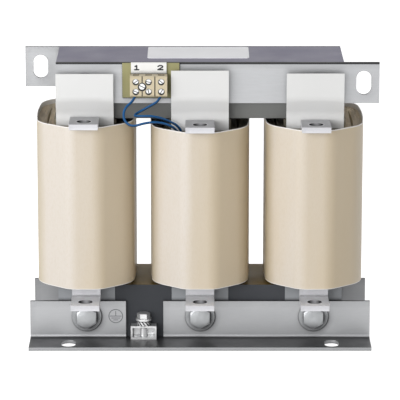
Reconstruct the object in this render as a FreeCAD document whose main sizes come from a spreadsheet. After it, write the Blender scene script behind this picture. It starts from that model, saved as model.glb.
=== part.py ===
import FreeCAD, Part

import math
import os
import re

import Sketcher
from FreeCAD import Placement, Rotation, Vector

# Three-phase reactor for power factor correction: a three-limb laminated core with air gaps,
# a foil winding on each limb, clamping brackets with feet, bar terminals, a terminal block
# for the temperature switch and an earth clamp.
#
# Millimetres. +Z is up, the terminals point to -Y, +X is to the right seen from the front.
# The origin is below the middle of the core, on the surface that the feet stand on.

doc = FreeCAD.newDocument("reactor")
sheet = doc.addObject("Spreadsheet::Sheet", "Sizes")

SIZES = {
    # Core
    "limb_pitch": (100, "distance between limb centres"),
    "limb_width": (50, "width of a limb"),
    "stack_depth": (73, "depth of the lamination stack"),
    "yoke_height": (50, "height of a yoke"),
    "window_height": (150, "height of the winding window"),
    "air_gap": (2.5, "height of one air gap in a limb"),
    "packet_count": (3, "lamination packets in a limb"),
    # Brackets
    "plate_thickness": (3, "bracket sheet"),
    "bend_radius": (2.5, "inner radius of the bracket bend"),
    "upper_bracket_low": (13.5, "lower edge of the upper brackets below their bolts"),
    "tab_reach": (30.7, "lifting tab past the end of the core"),
    "tab_slot_setback": (13.5, "centre of the tab slot from the end of the tab"),
    "tab_slot_width": (13, "width of the tab slot"),
    "tab_slot_length": (21, "end to end length of the tab slot"),
    "lower_bracket_length": (300, "length of the lower brackets"),
    "lower_bracket_height": (36, "height of the lower brackets"),
    "flange_depth": (33, "foot flange in front of the upright"),
    "foot_slot_inset": (34.5, "foot slot centre from the end of the bracket"),
    "foot_slot_setback": (19.5, "foot slot centre from the upright's face"),
    "foot_slot_width": (12.5, "width of a foot slot"),
    "foot_slot_length": (20, "end to end length of a foot slot"),
    "notch_shift": (0.9, "middle of the notch right of the earth clamp"),
    "notch_width": (33, "width of the notch for the earth clamp"),
    # Clamping bolts
    "bolt_radius": (5, "shank radius of a clamping bolt"),
    "bolt_clearance": (0.5, "radial clearance of the bracket holes"),
    "head_across_flats": (17, "hexagon of head and nut"),
    "head_height": (6.4, "bolt head height"),
    "nut_height": (8.4, "nut height"),
    "bolt_overhang": (3, "bolt end past the nut"),
    "washer_radius": (13, "outer radius of the washers"),
    "washer_thickness": (2, "washer thickness"),
    "sleeve_wall": (1.6, "wall of the insulating sleeves"),
    "sleeve_fit": (0.2, "clearance inside and outside a sleeve"),
    "lower_bolt_up": (22.4, "height of the lower bolts"),
    "upper_bolt_up": (27.5, "upper bolts above the window"),
    # Windings
    "tube_fit": (0.5, "clearance between limb and winding tube"),
    "tube_wall": (1.5, "wall of the winding tube"),
    "tube_rise": (0.5, "tube end below the upper yoke"),
    "layer_fit": (0.2, "play between tube, windings and wrap"),
    "inner_share": (0.385, "inner winding's share of the room for both"),
    "winding_gap": (1.1, "insulation between the windings at the sides"),
    "wrap_thickness": (1, "outer wrap"),
    "coil_gap": (15, "gap between two coils"),
    "coil_front_build": (34.5, "coil in front of the core"),
    "coil_side_setback": (4.5, "end of a coil's straight side behind the face of the core"),
    "shoulder_radius": (30, "rounding between side and front"),
    "front_half": (13, "half the flat at the front of a coil"),
    "coil_lift": (4.5, "lower rim of the wraps above the lower yoke"),
    "left_rim_drop": (1, "upper rim below the upper yoke, left coil"),
    "centre_rim_drop": (5.5, "upper rim below the upper yoke, centre coil"),
    "right_rim_drop": (3.6, "upper rim below the upper yoke, right coil"),
    "rim_recess": (4, "winding end behind the rim of the wrap"),
    "turn_recess": (1.4, "foil edge behind the insulation edges"),
    "turn_width": (1.0, "thickness of one visible insulation edge"),
    "duct_stick_across": (24.5, "duct stick from the middle of the coil"),
    "duct_stick_width": (4, "width of a duct stick"),
    "duct_fit": (0.1, "play of the duct sticks"),
    # Terminals
    "bar_width": (25, "width of a terminal bar"),
    "bar_thickness": (5, "thickness of a terminal bar"),
    "bar_bend": (1.5, "inner radius of the bar's bend"),
    "bar_reach": (11, "front end of the bars in front of the coils"),
    "bar_leg": (60, "height of the leg inside the coil"),
    "bar_hole_radius": (6.2, "terminal hole"),
    "bar_hole_setback": (12.5, "terminal hole from the end of the bar"),
    "left_bar_drop": (1, "underside of the bar below the upper yoke, left"),
    "centre_bar_drop": (3.8, "underside of the bar below the upper yoke, centre"),
    "right_bar_drop": (3.6, "underside of the bar below the upper yoke, right"),
    "lower_bar_drop": (11.8, "underside of the lower bars below the top of the lower yoke"),
    # Insulating plates
    "shield_width": (50, "width of the insulating plates"),
    "shield_thickness": (1.2, "thickness of the insulating plates"),
    "shield_fit": (0.2, "play in front of the bolt heads"),
    "shield_lean_start": (21.5, "where an upper plate leans forward, below the bolt"),
    "shield_lean_end": (8.5, "where it stands upright again, below the bolt"),
    "shield_bend": (14, "radius of the two soft bends"),
    "left_shield_drop": (8.4, "upper edge below the top of the core, left plate"),
    "centre_shield_drop": (5.5, "upper edge below the top of the core, centre plate"),
    "right_shield_drop": (8, "upper edge below the top of the core, right plate"),
    "lower_shield_bottom": (7, "lower edge of the lower plates"),
    "lower_shield_drop": (0.3, "their upper edge below the top of the yoke"),
    # Terminal block of the temperature switch
    "backing_left": (-67.4, "left edge of the backing sheet"),
    "backing_right": (-17.9, "right edge of the backing sheet"),
    "backing_height": (30.5, "height of the backing sheet"),
    "backing_drop": (0.3, "its upper edge below the top of the core"),
    "backing_thickness": (0.8, "backing sheet"),
    "block_centre": (-44.4, "middle of the terminal block"),
    "block_drop": (27.5, "underside of the terminal block below the top of the core"),
    "block_width": (32.2, "width of the block"),
    "block_depth": (14, "depth of the block"),
    "block_height": (18, "height of the block"),
    "block_edge": (1.2, "bevel on its front edges"),
    "pole_pitch": (11, "distance between poles"),
    "pole_groove": (0.9, "width of the groove between poles"),
    "pole_groove_depth": (1.5, "depth of that groove"),
    "channel_size": (5.5, "side of a square wire channel"),
    "channel_back": (4.25, "back of the channel from the back of the block"),
    "channel_play": (0.15, "play of a clamp in its channel"),
    "clamp_lift": (2.2, "wire clamp above the underside of the block"),
    "clamp_height": (13.6, "height of a wire clamp"),
    "screw_row_lower": (4.4, "lower screw row above the underside"),
    "screw_row_upper": (13, "upper screw row above the underside"),
    "screw_well_radius": (2.9, "well of a clamping screw"),
    "screw_head_radius": (2.5, "head of a clamping screw"),
    "screw_head_height": (1.8, "head height of a clamping screw"),
    "screw_shank_radius": (1.4, "shank of a clamping screw"),
    "screw_tap_radius": (1.5, "tapped hole in a wire clamp"),
    "screw_sink": (0.8, "screw head behind the front of the block"),
    "screw_slot_width": (0.8, "driver slot"),
    "screw_slot_depth": (0.9, "depth of a driver slot"),
    "fixing_head_radius": (3.5, "head of the fixing screw"),
    "fixing_head_height": (2.4, "head height of the fixing screw"),
    "fixing_well_radius": (3.8, "well of the fixing screw"),
    "fixing_well_depth": (3.6, "depth of that well"),
    "fixing_shank_radius": (1.9, "shank of the fixing screw"),
    "fixing_hole_radius": (2.1, "hole for that shank"),
    "marker_width": (30.8, "width of the marker strip"),
    "marker_drop": (9.3, "lower edge of the marker strip below the top of the core"),
    "marker_height": (9.6, "height of the marker strip"),
    "marker_thickness": (1.6, "thickness of the marker strip"),
    # Temperature switch in the cooling duct of the centre coil
    "switch_fit": (0.7, "gap between the switch and the bar beside it"),
    "switch_width": (7.6, "width of the switch"),
    "switch_depth": (6.8, "depth of the switch"),
    "switch_drop": (18, "top of the switch below the upper yoke"),
    "switch_height": (16, "height of the switch"),
    "switch_edge": (1.2, "rounding of the switch"),
    "lead_radius": (1.1, "radius of the switch leads"),
    # Earth clamp
    "earth_centre": (-49.8, "middle of the earth clamp"),
    "earth_setback": (6.9, "screw axis in front of the core"),
    "earth_width": (22.6, "width of the clamp"),
    "earth_depth": (10.4, "depth of the clamp"),
    "earth_base_thickness": (2, "base plate of the clamp"),
    "earth_cap_height": (10.2, "height of the cap"),
    "earth_sheet": (1.6, "sheet of the cap"),
    "earth_screw_radius": (3, "earth screw"),
    "earth_screw_fit": (0.15, "clearance round the earth screw"),
    "lock_washer_radius": (5.9, "toothed washer"),
    "lock_washer_height": (4.6, "height of the toothed washer"),
    "lock_tooth_count": (12, "oblique teeth of that washer"),
    "lock_tooth_gap": (1.1, "gap between two teeth"),
    "flat_washer_radius": (6.9, "flat washer of the earth screw"),
    "flat_washer_height": (1.6, "its thickness"),
    "earth_head_flats": (10, "hexagon of the earth screw"),
    "earth_head_height": (4.6, "head height of the earth screw"),
    # Rating plate
    "rating_width": (89, "width of the rating plate"),
    "rating_depth": (53, "depth of the rating plate"),
    "rating_across": (-1.5, "middle of the rating plate"),
    "rating_back": (5.8, "middle of the rating plate behind the centre line"),
    "rating_thickness": (0.5, "rating plate"),
    "rating_corner": (3, "corner radius of the rating plate"),
}

for row, (alias, (number, note)) in enumerate(SIZES.items(), start=1):
    sheet.set("A%d" % row, note)
    sheet.set("B%d" % row, str(number))
    sheet.setAlias("B%d" % row, alias)
doc.recompute()

# Sizes that follow from the sheet, as expressions
HALF_DEPTH = "(stack_depth / 2)"
HALF_WIDTH = "(limb_pitch + limb_width / 2)"
WINDOW_TOP = "(yoke_height + window_height)"
CORE_TOP = "(2 * yoke_height + window_height)"
TAB_END = "(%s + tab_reach)" % HALF_WIDTH
UPPER_BOLT = "(%s + upper_bolt_up)" % WINDOW_TOP
BRACKET_LOW = "(%s - upper_bracket_low)" % UPPER_BOLT
HOLE_RADIUS = "(bolt_radius + bolt_clearance)"
SLEEVE_BORE = "(bolt_radius + sleeve_fit)"
SLEEVE_RADIUS = "(bolt_radius + sleeve_fit + sleeve_wall)"
CORE_HOLE = "(bolt_radius + 2 * sleeve_fit + sleeve_wall)"
UPPER_FACE = "(-stack_depth / 2 - plate_thickness)"
LOWER_FACE = "(-stack_depth / 2 - shield_thickness - plate_thickness)"
BACK_FACE = "(stack_depth / 2 + plate_thickness)"
COIL_SIDE = "(limb_pitch / 2 - coil_gap / 2)"
COIL_FRONT = "(stack_depth / 2 + coil_front_build)"
SIDE_HALF = "(stack_depth / 2 - coil_side_setback)"
INSIDE = "(tube_fit + tube_wall + layer_fit)"
OUTSIDE = "(wrap_thickness + layer_fit)"
WINDING_ROOM = "(%s - limb_width / 2 - %s - winding_gap - %s)" % (COIL_SIDE, INSIDE, OUTSIDE)
INNER_BUILD = "(inner_share * %s)" % WINDING_ROOM
OUTER_BUILD = "(%s - %s)" % (WINDING_ROOM, INNER_BUILD)
INNER_FACE = "(stack_depth / 2 + %s + %s)" % (INSIDE, INNER_BUILD)
BAR_BACK = "(%s + duct_fit)" % INNER_FACE
BAR_FRONT = "(%s + bar_thickness)" % BAR_BACK
COIL_BOTTOM = "(yoke_height + coil_lift)"
WINDING_BOTTOM = "(%s + rim_recess)" % COIL_BOTTOM
BAR_TIP = "(%s + bar_reach)" % COIL_FRONT
LEAN_START = "(%s - shield_lean_start)" % UPPER_BOLT
LEAN_END = "(%s - shield_lean_end)" % UPPER_BOLT
BLOCK_BOTTOM = "(%s - block_drop)" % CORE_TOP
SWITCH_TOP = "(%s - switch_drop)" % WINDOW_TOP
PHASES = {"left": "(-limb_pitch)", "centre": "0", "right": "limb_pitch"}


def formula(text):
    """Expression text in which each size is a cell of the sheet."""
    return re.sub(r"[a-z_]+", lambda word: "Sizes." + word.group() if word.group() in SIZES else word.group(), text)


def value(text):
    """Present value of an expression."""
    return float(sheet.evalExpression(formula(text)))


def bind(item, links):
    """Ties properties of an object to expressions."""
    for name, text in links.items():
        item.setExpression(name, formula(text))


def place(item, across="0", back="0", up="0"):
    """Ties an object's place to expressions."""
    bind(item, {"Placement.Base.x": across, "Placement.Base.y": back, "Placement.Base.z": up})
    return item


def box(name, across, back, up):
    """Box between a low and a high expression on each axis."""
    item = doc.addObject("Part::Box", name)
    for side, (low, high) in zip(("Length", "Width", "Height"), (across, back, up)):
        bind(item, {side: "(%s) - (%s)" % (high, low)})
    return place(item, across[0], back[0], up[0])


def cylinder(name, radius, length, start, backwards=False):
    """Cylinder from its start, upwards or backwards."""
    item = doc.addObject("Part::Cylinder", name)
    bind(item, {"Radius": radius, "Height": length})
    if backwards:
        item.Placement = Placement(Vector(), Rotation(Vector(1, 0, 0), -90))
    return place(item, *start)


def hexagon(name, flats, length, start, backwards=False):
    """Six-sided bar from its start, with a corner pointing down or sideways."""
    item = doc.addObject("Part::Prism", name)
    item.Polygon = 6
    bind(item, {"Circumradius": "%s / sqrt(3)" % flats, "Height": length})
    if backwards:
        item.Placement = Placement(Vector(), Rotation(0, 0, -90) * Rotation(Vector(0, 0, 1), 30))
    return place(item, *start)


def fuse(name, items):
    item = doc.addObject("Part::MultiFuse", name)
    item.Shapes = items
    return item


def cut(name, base, tool):
    item = doc.addObject("Part::Cut", name)
    item.Base = base
    item.Tool = tool
    return item


def group(name, items):
    """Separate solids that share a name."""
    item = doc.addObject("Part::Compound", name)
    item.Links = items
    return item


def new_body(name):
    return doc.addObject("PartDesign::Body", name)


def new_sketch(body, name, plane, lift=None):
    """Sketch on one of the body's own planes, lifted along the plane's normal."""
    sketch = body.newObject("Sketcher::SketchObject", body.Name + "_" + name)
    support = [feature for feature in body.Origin.OriginFeatures if feature.Role == plane]
    sketch.AttachmentSupport = [(support[0], "")]
    sketch.MapMode = "FlatFace"
    if lift:
        bind(sketch, {"AttachmentOffset.Base.z": lift})
    return sketch


def hold(sketch, kind, places, text):
    """Adds a dimension to a sketch and ties it to an expression."""
    index = sketch.addConstraint(Sketcher.Constraint(kind, *places, value(text)))
    sketch.setExpression("Constraints[%d]" % index, formula(text))


def outline(sketch, corners):
    """Closed outline whose corners are pairs of expressions."""
    first = sketch.GeometryCount
    points = [Vector(value(across), value(up), 0) for across, up in corners]
    count = len(points)
    for index in range(count):
        sketch.addGeometry(Part.LineSegment(points[index], points[(index + 1) % count]), False)
    for index in range(count):
        joint = (first + index, 2, first + (index + 1) % count, 1)
        sketch.addConstraint(Sketcher.Constraint("Coincident", *joint))
    for index, (across, up) in enumerate(corners):
        hold(sketch, "DistanceX", (-1, 1, first + index, 1), across)
        hold(sketch, "DistanceY", (-1, 1, first + index, 1), up)


def rectangle(sketch, left, right, bottom, top):
    outline(sketch, [(left, bottom), (right, bottom), (right, top), (left, top)])


def ring_hole(sketch, across, up, radius):
    """Round hole in a sketch."""
    centre = Vector(value(across), value(up), 0)
    circle = sketch.addGeometry(Part.Circle(centre, Vector(0, 0, 1), value(radius)), False)
    hold(sketch, "DistanceX", (-1, 1, circle, 3), across)
    hold(sketch, "DistanceY", (-1, 1, circle, 3), up)
    hold(sketch, "Radius", (circle,), radius)


def slot(sketch, across, up, width, length):
    """Upright slot with round ends in a sketch."""
    centre = Vector(value(across), value(up), 0)
    radius = value(width) / 2
    reach = Vector(0, value(length) / 2 - radius, 0)
    side = Vector(radius, 0, 0)
    axis = Vector(0, 0, 1)
    top = sketch.addGeometry(Part.ArcOfCircle(Part.Circle(centre + reach, axis, radius), 0, math.pi), False)
    left = sketch.addGeometry(Part.LineSegment(centre + reach - side, centre - reach - side), False)
    foot = sketch.addGeometry(
        Part.ArcOfCircle(Part.Circle(centre - reach, axis, radius), math.pi, 2 * math.pi), False)
    right = sketch.addGeometry(Part.LineSegment(centre - reach + side, centre + reach + side), False)
    for one, other in ((top, left), (left, foot), (foot, right), (right, top)):
        sketch.addConstraint(Sketcher.Constraint("Tangent", one, 2, other, 1))
    hold(sketch, "DistanceX", (-1, 1, top, 3), across)
    hold(sketch, "DistanceX", (-1, 1, foot, 3), across)
    hold(sketch, "DistanceY", (-1, 1, top, 3), "%s + (%s - %s) / 2" % (up, length, width))
    hold(sketch, "DistanceY", (-1, 1, foot, 3), "%s - (%s - %s) / 2" % (up, length, width))
    hold(sketch, "Radius", (top,), "%s / 2" % width)


def pad(body, sketch, length, symmetric=False):
    """Thickness along the sketch's normal, or half to each side."""
    feature = body.newObject("PartDesign::Pad", sketch.Name + "_pad")
    feature.Profile = sketch
    bind(feature, {"Length": length})
    if symmetric:
        feature.SideType = "Symmetric"
    return feature


def pocket(body, sketch, depth=None):
    """Cut against the sketch's normal, or through everything both ways."""
    feature = body.newObject("PartDesign::Pocket", sketch.Name + "_pocket")
    feature.Profile = sketch
    if depth:
        bind(feature, {"Length": depth})
    else:
        feature.SideType = "Symmetric"
        feature.Type = "ThroughAll"
    return feature


def edges_near(shape, test):
    """Names of the straight edges whose middle passes a test."""
    names = []
    for index, edge in enumerate(shape.Edges, start=1):
        if test(edge.CenterOfMass, edge):
            names.append("Edge%d" % index)
    return names


def along_edges(body, back, up):
    """Edges of the last feature that run across at one point of its profile."""
    doc.recompute()
    wanted = (value(back), value(up))

    def test(middle, edge):
        near = math.hypot(middle.y - wanted[0], middle.z - wanted[1]) < 0.01
        return near and abs(edge.BoundBox.XLength - edge.Length) < 0.01

    return edges_near(body.Tip.Shape, test)


def fillet(body, edges, radius, name):
    base = body.Tip
    feature = body.newObject("PartDesign::Fillet", body.Name + "_" + name)
    feature.Base = (base, edges)
    bind(feature, {"Radius": radius})
    body.Tip = feature
    return feature


# Core


def build_yoke(name, bottom, bolt):
    """Solid lamination stack with three sleeved bolt holes."""
    halves = ("-%s" % HALF_DEPTH, HALF_DEPTH)
    stack = box(name + "_stack", ("-%s" % HALF_WIDTH, HALF_WIDTH), halves, (bottom, "%s + yoke_height" % bottom))
    bores = []
    for phase, across in PHASES.items():
        bores.append(cylinder("%s_%s_bore" % (name, phase), CORE_HOLE, "stack_depth + 2",
                              (across, "-%s - 1" % HALF_DEPTH, bolt), backwards=True))
    return cut(name, stack, fuse(name + "_bores", bores))


def build_limb(phase, across):
    """Lamination packets with insulating spacers in the air gaps."""
    count = int(value("packet_count"))
    step = "((window_height - air_gap) / packet_count)"
    sides = ("%s - limb_width / 2" % across, "%s + limb_width / 2" % across)
    depth = ("-%s" % HALF_DEPTH, HALF_DEPTH)
    packets = []
    spacers = []
    for index in range(count + 1):
        bottom = "yoke_height + %d * %s" % (index, step)
        spacers.append(box("%s_spacer_%d" % (phase, index), sides, depth, (bottom, bottom + " + air_gap")))
        if index < count:
            packet = (bottom + " + air_gap", "%s + %s" % (bottom, step))
            packets.append(box("%s_packet_%d" % (phase, index), sides, depth, packet))
    return [group(phase + "_limb_packets", packets), group(phase + "_gap_spacers", spacers)]


# Brackets, modelled with the face that meets the core at y = 0 and the outside towards -y


def turn_back(body, back):
    """Turns a bracket round the vertical axis, to the back of the core."""
    body.Placement = Placement(Vector(), Rotation(Vector(0, 0, 1), 180))
    bind(body, {"Placement.Base.y": back})


def build_upper_bracket(name):
    """Flat clamping plate with a lifting tab at one end."""
    body = new_body(name)
    sketch = new_sketch(body, "plate", "XZ_Plane")
    rectangle(sketch, "-" + HALF_WIDTH, TAB_END, BRACKET_LOW, CORE_TOP)
    for across in PHASES.values():
        ring_hole(sketch, across, UPPER_BOLT, HOLE_RADIUS)
    slot(sketch, TAB_END + " - tab_slot_setback", "(%s + %s) / 2" % (BRACKET_LOW, CORE_TOP), "tab_slot_width",
         "tab_slot_length")
    pad(body, sketch, "plate_thickness")
    return body


def build_lower_bracket(name, notched):
    """Folded angle: an upright that clamps the yoke and a foot flange with two slots."""
    body = new_body(name)
    sketch = new_sketch(body, "angle", "YZ_Plane")
    toe = "-plate_thickness - flange_depth"
    outline(sketch, [
        (toe, "0"), ("0", "0"), ("0", "lower_bracket_height"), ("-plate_thickness", "lower_bracket_height"),
        ("-plate_thickness", "plate_thickness"), (toe, "plate_thickness")])
    pad(body, sketch, "lower_bracket_length", symmetric=True)
    inner = along_edges(body, "-plate_thickness", "plate_thickness")
    fillet(body, inner, "bend_radius", "inner_bend")
    outer = along_edges(body, "0", "0")
    fillet(body, outer, "bend_radius + plate_thickness", "outer_bend")
    holes = new_sketch(body, "bolt_holes", "XZ_Plane")
    for across in PHASES.values():
        ring_hole(holes, across, "lower_bolt_up", HOLE_RADIUS)
    if notched:
        middle = "earth_centre + notch_shift"
        rectangle(holes, middle + " - notch_width / 2", middle + " + notch_width / 2", "plate_thickness",
                  "lower_bracket_height + 1")
    pocket(body, holes)
    slots = new_sketch(body, "foot_slots", "XY_Plane")
    for across in ("foot_slot_inset - lower_bracket_length / 2", "lower_bracket_length / 2 - foot_slot_inset"):
        slot(slots, across, "-plate_thickness - foot_slot_setback", "foot_slot_width", "foot_slot_length")
    pocket(body, slots)
    return body


# Clamping bolts


def bolt_places():
    """Name, place across, height and front face of each clamping bolt."""
    for phase, across in PHASES.items():
        yield "lower_" + phase, across, "lower_bolt_up", LOWER_FACE
        yield "upper_" + phase, across, UPPER_BOLT, UPPER_FACE


def chamfered_hexagon(name, flats, height, start, point_front):
    """Hexagon along Y whose corners are turned down at one face."""
    bar = hexagon(name + "_bar", flats, height, start, backwards=True)
    cone = doc.addObject("Part::Cone", name + "_cone")
    small, large = ("%s * 0.48" % flats, "%s * 0.48 + %s * 1.7" % (flats, height))
    bind(cone, {"Radius1": small if point_front else large, "Radius2": large if point_front else small,
                "Height": height})
    cone.Placement = Placement(Vector(), Rotation(Vector(1, 0, 0), -90))
    place(cone, *start)
    item = doc.addObject("Part::MultiCommon", name)
    item.Shapes = [bar, cone]
    return item


def build_clamping():
    """Bolts, nuts, washers and insulating sleeves of both yokes."""
    bolts, nuts, washers, sleeves = [], [], [], []
    behind = "%s + washer_thickness" % BACK_FACE
    for name, across, up, face in bolt_places():
        head_back = "%s - washer_thickness" % face
        head = chamfered_hexagon(name + "_head", "head_across_flats", "head_height",
                                 (across, "%s - head_height" % head_back, up), True)
        length = "%s + nut_height + bolt_overhang - (%s)" % (behind, head_back)
        shank = cylinder(name + "_shank", "bolt_radius", length, (across, head_back, up), backwards=True)
        bolts.append(fuse(name + "_bolt", [head, shank]))
        nut = chamfered_hexagon(name + "_nut_blank", "head_across_flats", "nut_height", (across, behind, up), False)
        bore = cylinder(name + "_nut_bore", "bolt_radius", "nut_height + 2", (across, behind + " - 1", up),
                        backwards=True)
        nuts.append(cut(name + "_nut", nut, bore))
        for side, start in (("front", head_back), ("back", BACK_FACE)):
            disc = cylinder("%s_%s_disc" % (name, side), "washer_radius", "washer_thickness",
                            (across, start, up), backwards=True)
            eye = cylinder("%s_%s_eye" % (name, side), HOLE_RADIUS, "washer_thickness + 2",
                           (across, start + " - 1", up), backwards=True)
            washers.append(cut("%s_%s_washer" % (name, side), disc, eye))
        tube = cylinder(name + "_tube", SLEEVE_RADIUS, "%s - (%s) - 2 * plate_thickness" % (BACK_FACE, face),
                        (across, "%s + plate_thickness" % face, up), backwards=True)
        bore = cylinder(name + "_tube_bore", SLEEVE_BORE, "%s - (%s)" % (BACK_FACE, face),
                        (across, face, up), backwards=True)
        sleeves.append(cut(name + "_sleeve", tube, bore))
    return [group("clamp_bolts", bolts), group("clamp_nuts", nuts),
            group("clamp_washers", washers), group("bolt_sleeves", sleeves)]


# Windings


def coil_outline():
    """Outside of a coil in plan: straight sides, round shoulders, slanting faces and a flat front."""
    sketch = doc.addObject("Sketcher::SketchObject", "coil_outline")
    half, depth, side = value(COIL_SIDE), value(COIL_FRONT), value(SIDE_HALF)
    radius, flat = value("shoulder_radius"), value("front_half")
    # each slanting face leaves the flat's end and touches the shoulder's circle
    reach = Vector(flat - (half - radius), depth - side, 0)
    turn = math.atan2(reach.y, reach.x) - math.acos(radius / reach.Length)
    touch = Vector(half - radius + radius * math.cos(turn), side + radius * math.sin(turn), 0)

    def shoulder(right, back, start):
        centre = Vector(right * (half - radius), back * side, 0)
        return Part.ArcOfCircle(Part.Circle(centre, Vector(0, 0, 1), radius), start, start + turn)

    def line(start, end):
        return Part.LineSegment(Vector(*start), Vector(*end))

    right_front, left_front = (flat, -depth), (-flat, -depth)
    right_back, left_back = (flat, depth), (-flat, depth)
    for piece in (
            line((half, -side), (half, side)), shoulder(1, 1, 0), line((touch.x, touch.y), right_back),
            line(right_back, left_back), line(left_back, (-touch.x, touch.y)), shoulder(-1, 1, math.pi - turn),
            line((-half, side), (-half, -side)), shoulder(-1, -1, math.pi), line((-touch.x, -touch.y), left_front),
            line(left_front, right_front), line(right_front, (touch.x, -touch.y)), shoulder(1, -1, -turn)):
        sketch.addGeometry(piece, False)

    shoulders = {1: ("", ""), 5: ("-", ""), 7: ("-", "-"), 11: ("", "-")}
    for index in range(12):
        after = (index + 1) % 12
        kind = "Tangent" if index in shoulders or after in shoulders else "Coincident"
        sketch.addConstraint(Sketcher.Constraint(kind, index, 2, after, 1))
    for index, (right, back) in shoulders.items():
        hold(sketch, "DistanceX", (-1, 1, index, 3), "%s(%s - shoulder_radius)" % (right, COIL_SIDE))
        hold(sketch, "DistanceY", (-1, 1, index, 3), back + SIDE_HALF)
        hold(sketch, "Radius", (index,), "shoulder_radius")
    for flat_line, back in ((3, ""), (9, "-")):
        for end, right in ((1, back), (2, "" if back else "-")):
            hold(sketch, "DistanceX", (-1, 1, flat_line, end), right + "front_half")
            hold(sketch, "DistanceY", (-1, 1, flat_line, end), back + COIL_FRONT)
    return sketch


def offset_wire(name, source, distance, filled=False):
    """Parallel outline, or the band between it and its source."""
    item = doc.addObject("Part::Offset2D", name)
    item.Source = source
    item.Join = "Arc" if value(distance) > 0 else "Intersection"
    item.Fill = filled
    bind(item, {"Value": distance})
    return item


def rise(name, base, bottom, top, across="0"):
    """Upright extrusion between two heights."""
    item = doc.addObject("Part::Extrusion", name)
    item.Base = base
    item.DirMode = "Custom"
    item.Dir = Vector(0, 0, 1)
    item.Solid = True
    bind(item, {"LengthFwd": "(%s) - (%s)" % (top, bottom)})
    return place(item, across, "0", bottom)


def layered_winding(name, base, edges, bottom, top, across):
    """Foil winding whose insulation edges stand above the foil edges at both ends."""
    low, high = "(%s) + turn_recess" % bottom, "(%s) - turn_recess" % top
    parts = [rise(name + "_foil", base, low, high, across)]
    for index, edge in enumerate(edges):
        parts.append(rise("%s_turn_%d" % (name, index), edge, bottom, top, across))
    return fuse(name, parts)


class CoilPlan:
    """Outlines and bands in plan that the three coils share."""

    def __init__(self):
        limb = doc.addObject("Sketcher::SketchObject", "limb_outline")
        across = "limb_width / 2 + tube_fit"
        back = "stack_depth / 2 + tube_fit"
        outline(limb, [("-(%s)" % across, "-(%s)" % back), (across, "-(%s)" % back), (across, back),
                       ("-(%s)" % across, back)])
        skin = coil_outline()
        doc.recompute()
        self.skin = skin
        self.tube = offset_wire("tube_band", limb, "tube_wall", filled=True)
        inner_start = offset_wire("inner_start", limb, "tube_wall + layer_fit")
        self.inner = offset_wire("inner_band", inner_start, INNER_BUILD, filled=True)
        inner_skin = "tube_wall + layer_fit + " + INNER_BUILD
        self.inner_fill = offset_wire("inner_fill", limb, inner_skin + " + duct_fit")
        self.wrap = offset_wire("wrap_band", skin, "-wrap_thickness", filled=True)
        outer_start = offset_wire("outer_start", skin, "-" + OUTSIDE)
        self.outer = offset_wire("outer_band", outer_start, "-" + OUTER_BUILD, filled=True)
        bore = "-%s - %s" % (OUTSIDE, OUTER_BUILD)
        self.duct_fill = offset_wire("duct_fill", skin, bore + " - duct_fit")
        # visible insulation edges: the first and last turn of each winding and one between
        self.inner_edges = [
            offset_wire("inner_edge_0", inner_start, "turn_width", filled=True),
            self.edge_band("inner_edge_1", limb, inner_skin + " - turn_width", "turn_width")]
        self.outer_edges = [
            offset_wire("outer_edge_0", outer_start, "-turn_width", filled=True),
            self.edge_band("outer_edge_1", skin, bore + " + %s / 2 + turn_width / 2" % OUTER_BUILD, "-turn_width"),
            self.edge_band("outer_edge_2", skin, bore + " + turn_width", "-turn_width")]

    def edge_band(self, name, source, start, width):
        return offset_wire(name, offset_wire(name + "_start", source, start), width, filled=True)


def build_duct_sticks(phase, across, plan, top):
    """Sticks that hold the cooling ducts open at the front and back of a coil."""
    blanks = []
    half = "duct_stick_width / 2"
    for index, (middle, side) in enumerate(((-1, -1), (1, -1), (-1, 1), (0, 1), (1, 1))):
        centre = "%s + %d * duct_stick_across" % (across, middle)
        sides = ("%s - %s" % (centre, half), "%s + %s" % (centre, half))
        back = ("-" + COIL_FRONT, "0") if side < 0 else ("0", COIL_FRONT)
        blanks.append(box("%s_stick_%d" % (phase, index), sides, back, (WINDING_BOTTOM, top)))
    shell = rise(phase + "_duct_shell", plan.duct_fill, WINDING_BOTTOM, top, across)
    core = rise(phase + "_duct_core", plan.inner_fill, "%s - 1" % WINDING_BOTTOM, top + " + 1", across)
    sticks = doc.addObject("Part::MultiCommon", phase + "_stick_ends")
    sticks.Shapes = [group(phase + "_stick_blanks", blanks), shell]
    return cut(phase + "_duct_spacers", sticks, core)


def coil_top(phase):
    return "(%s - %s_rim_drop)" % (WINDOW_TOP, phase)


def build_coil(phase, across, plan):
    """Tube, two windings with the duct between them, and the outer wrap."""
    rim = coil_top(phase)
    top = "(%s - rim_recess)" % rim
    return [
        rise(phase + "_limb_tube", plan.tube, "yoke_height", "%s - tube_rise" % WINDOW_TOP, across),
        layered_winding(phase + "_inner_winding", plan.inner, plan.inner_edges, WINDING_BOTTOM, top, across),
        build_duct_sticks(phase, across, plan, top),
        layered_winding(phase + "_outer_winding", plan.outer, plan.outer_edges, WINDING_BOTTOM, top, across),
        rise(phase + "_outer_wrap", plan.wrap, COIL_BOTTOM, rim, across)]


# Terminals and insulating plates, modelled at their real height on the middle of the coil


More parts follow.
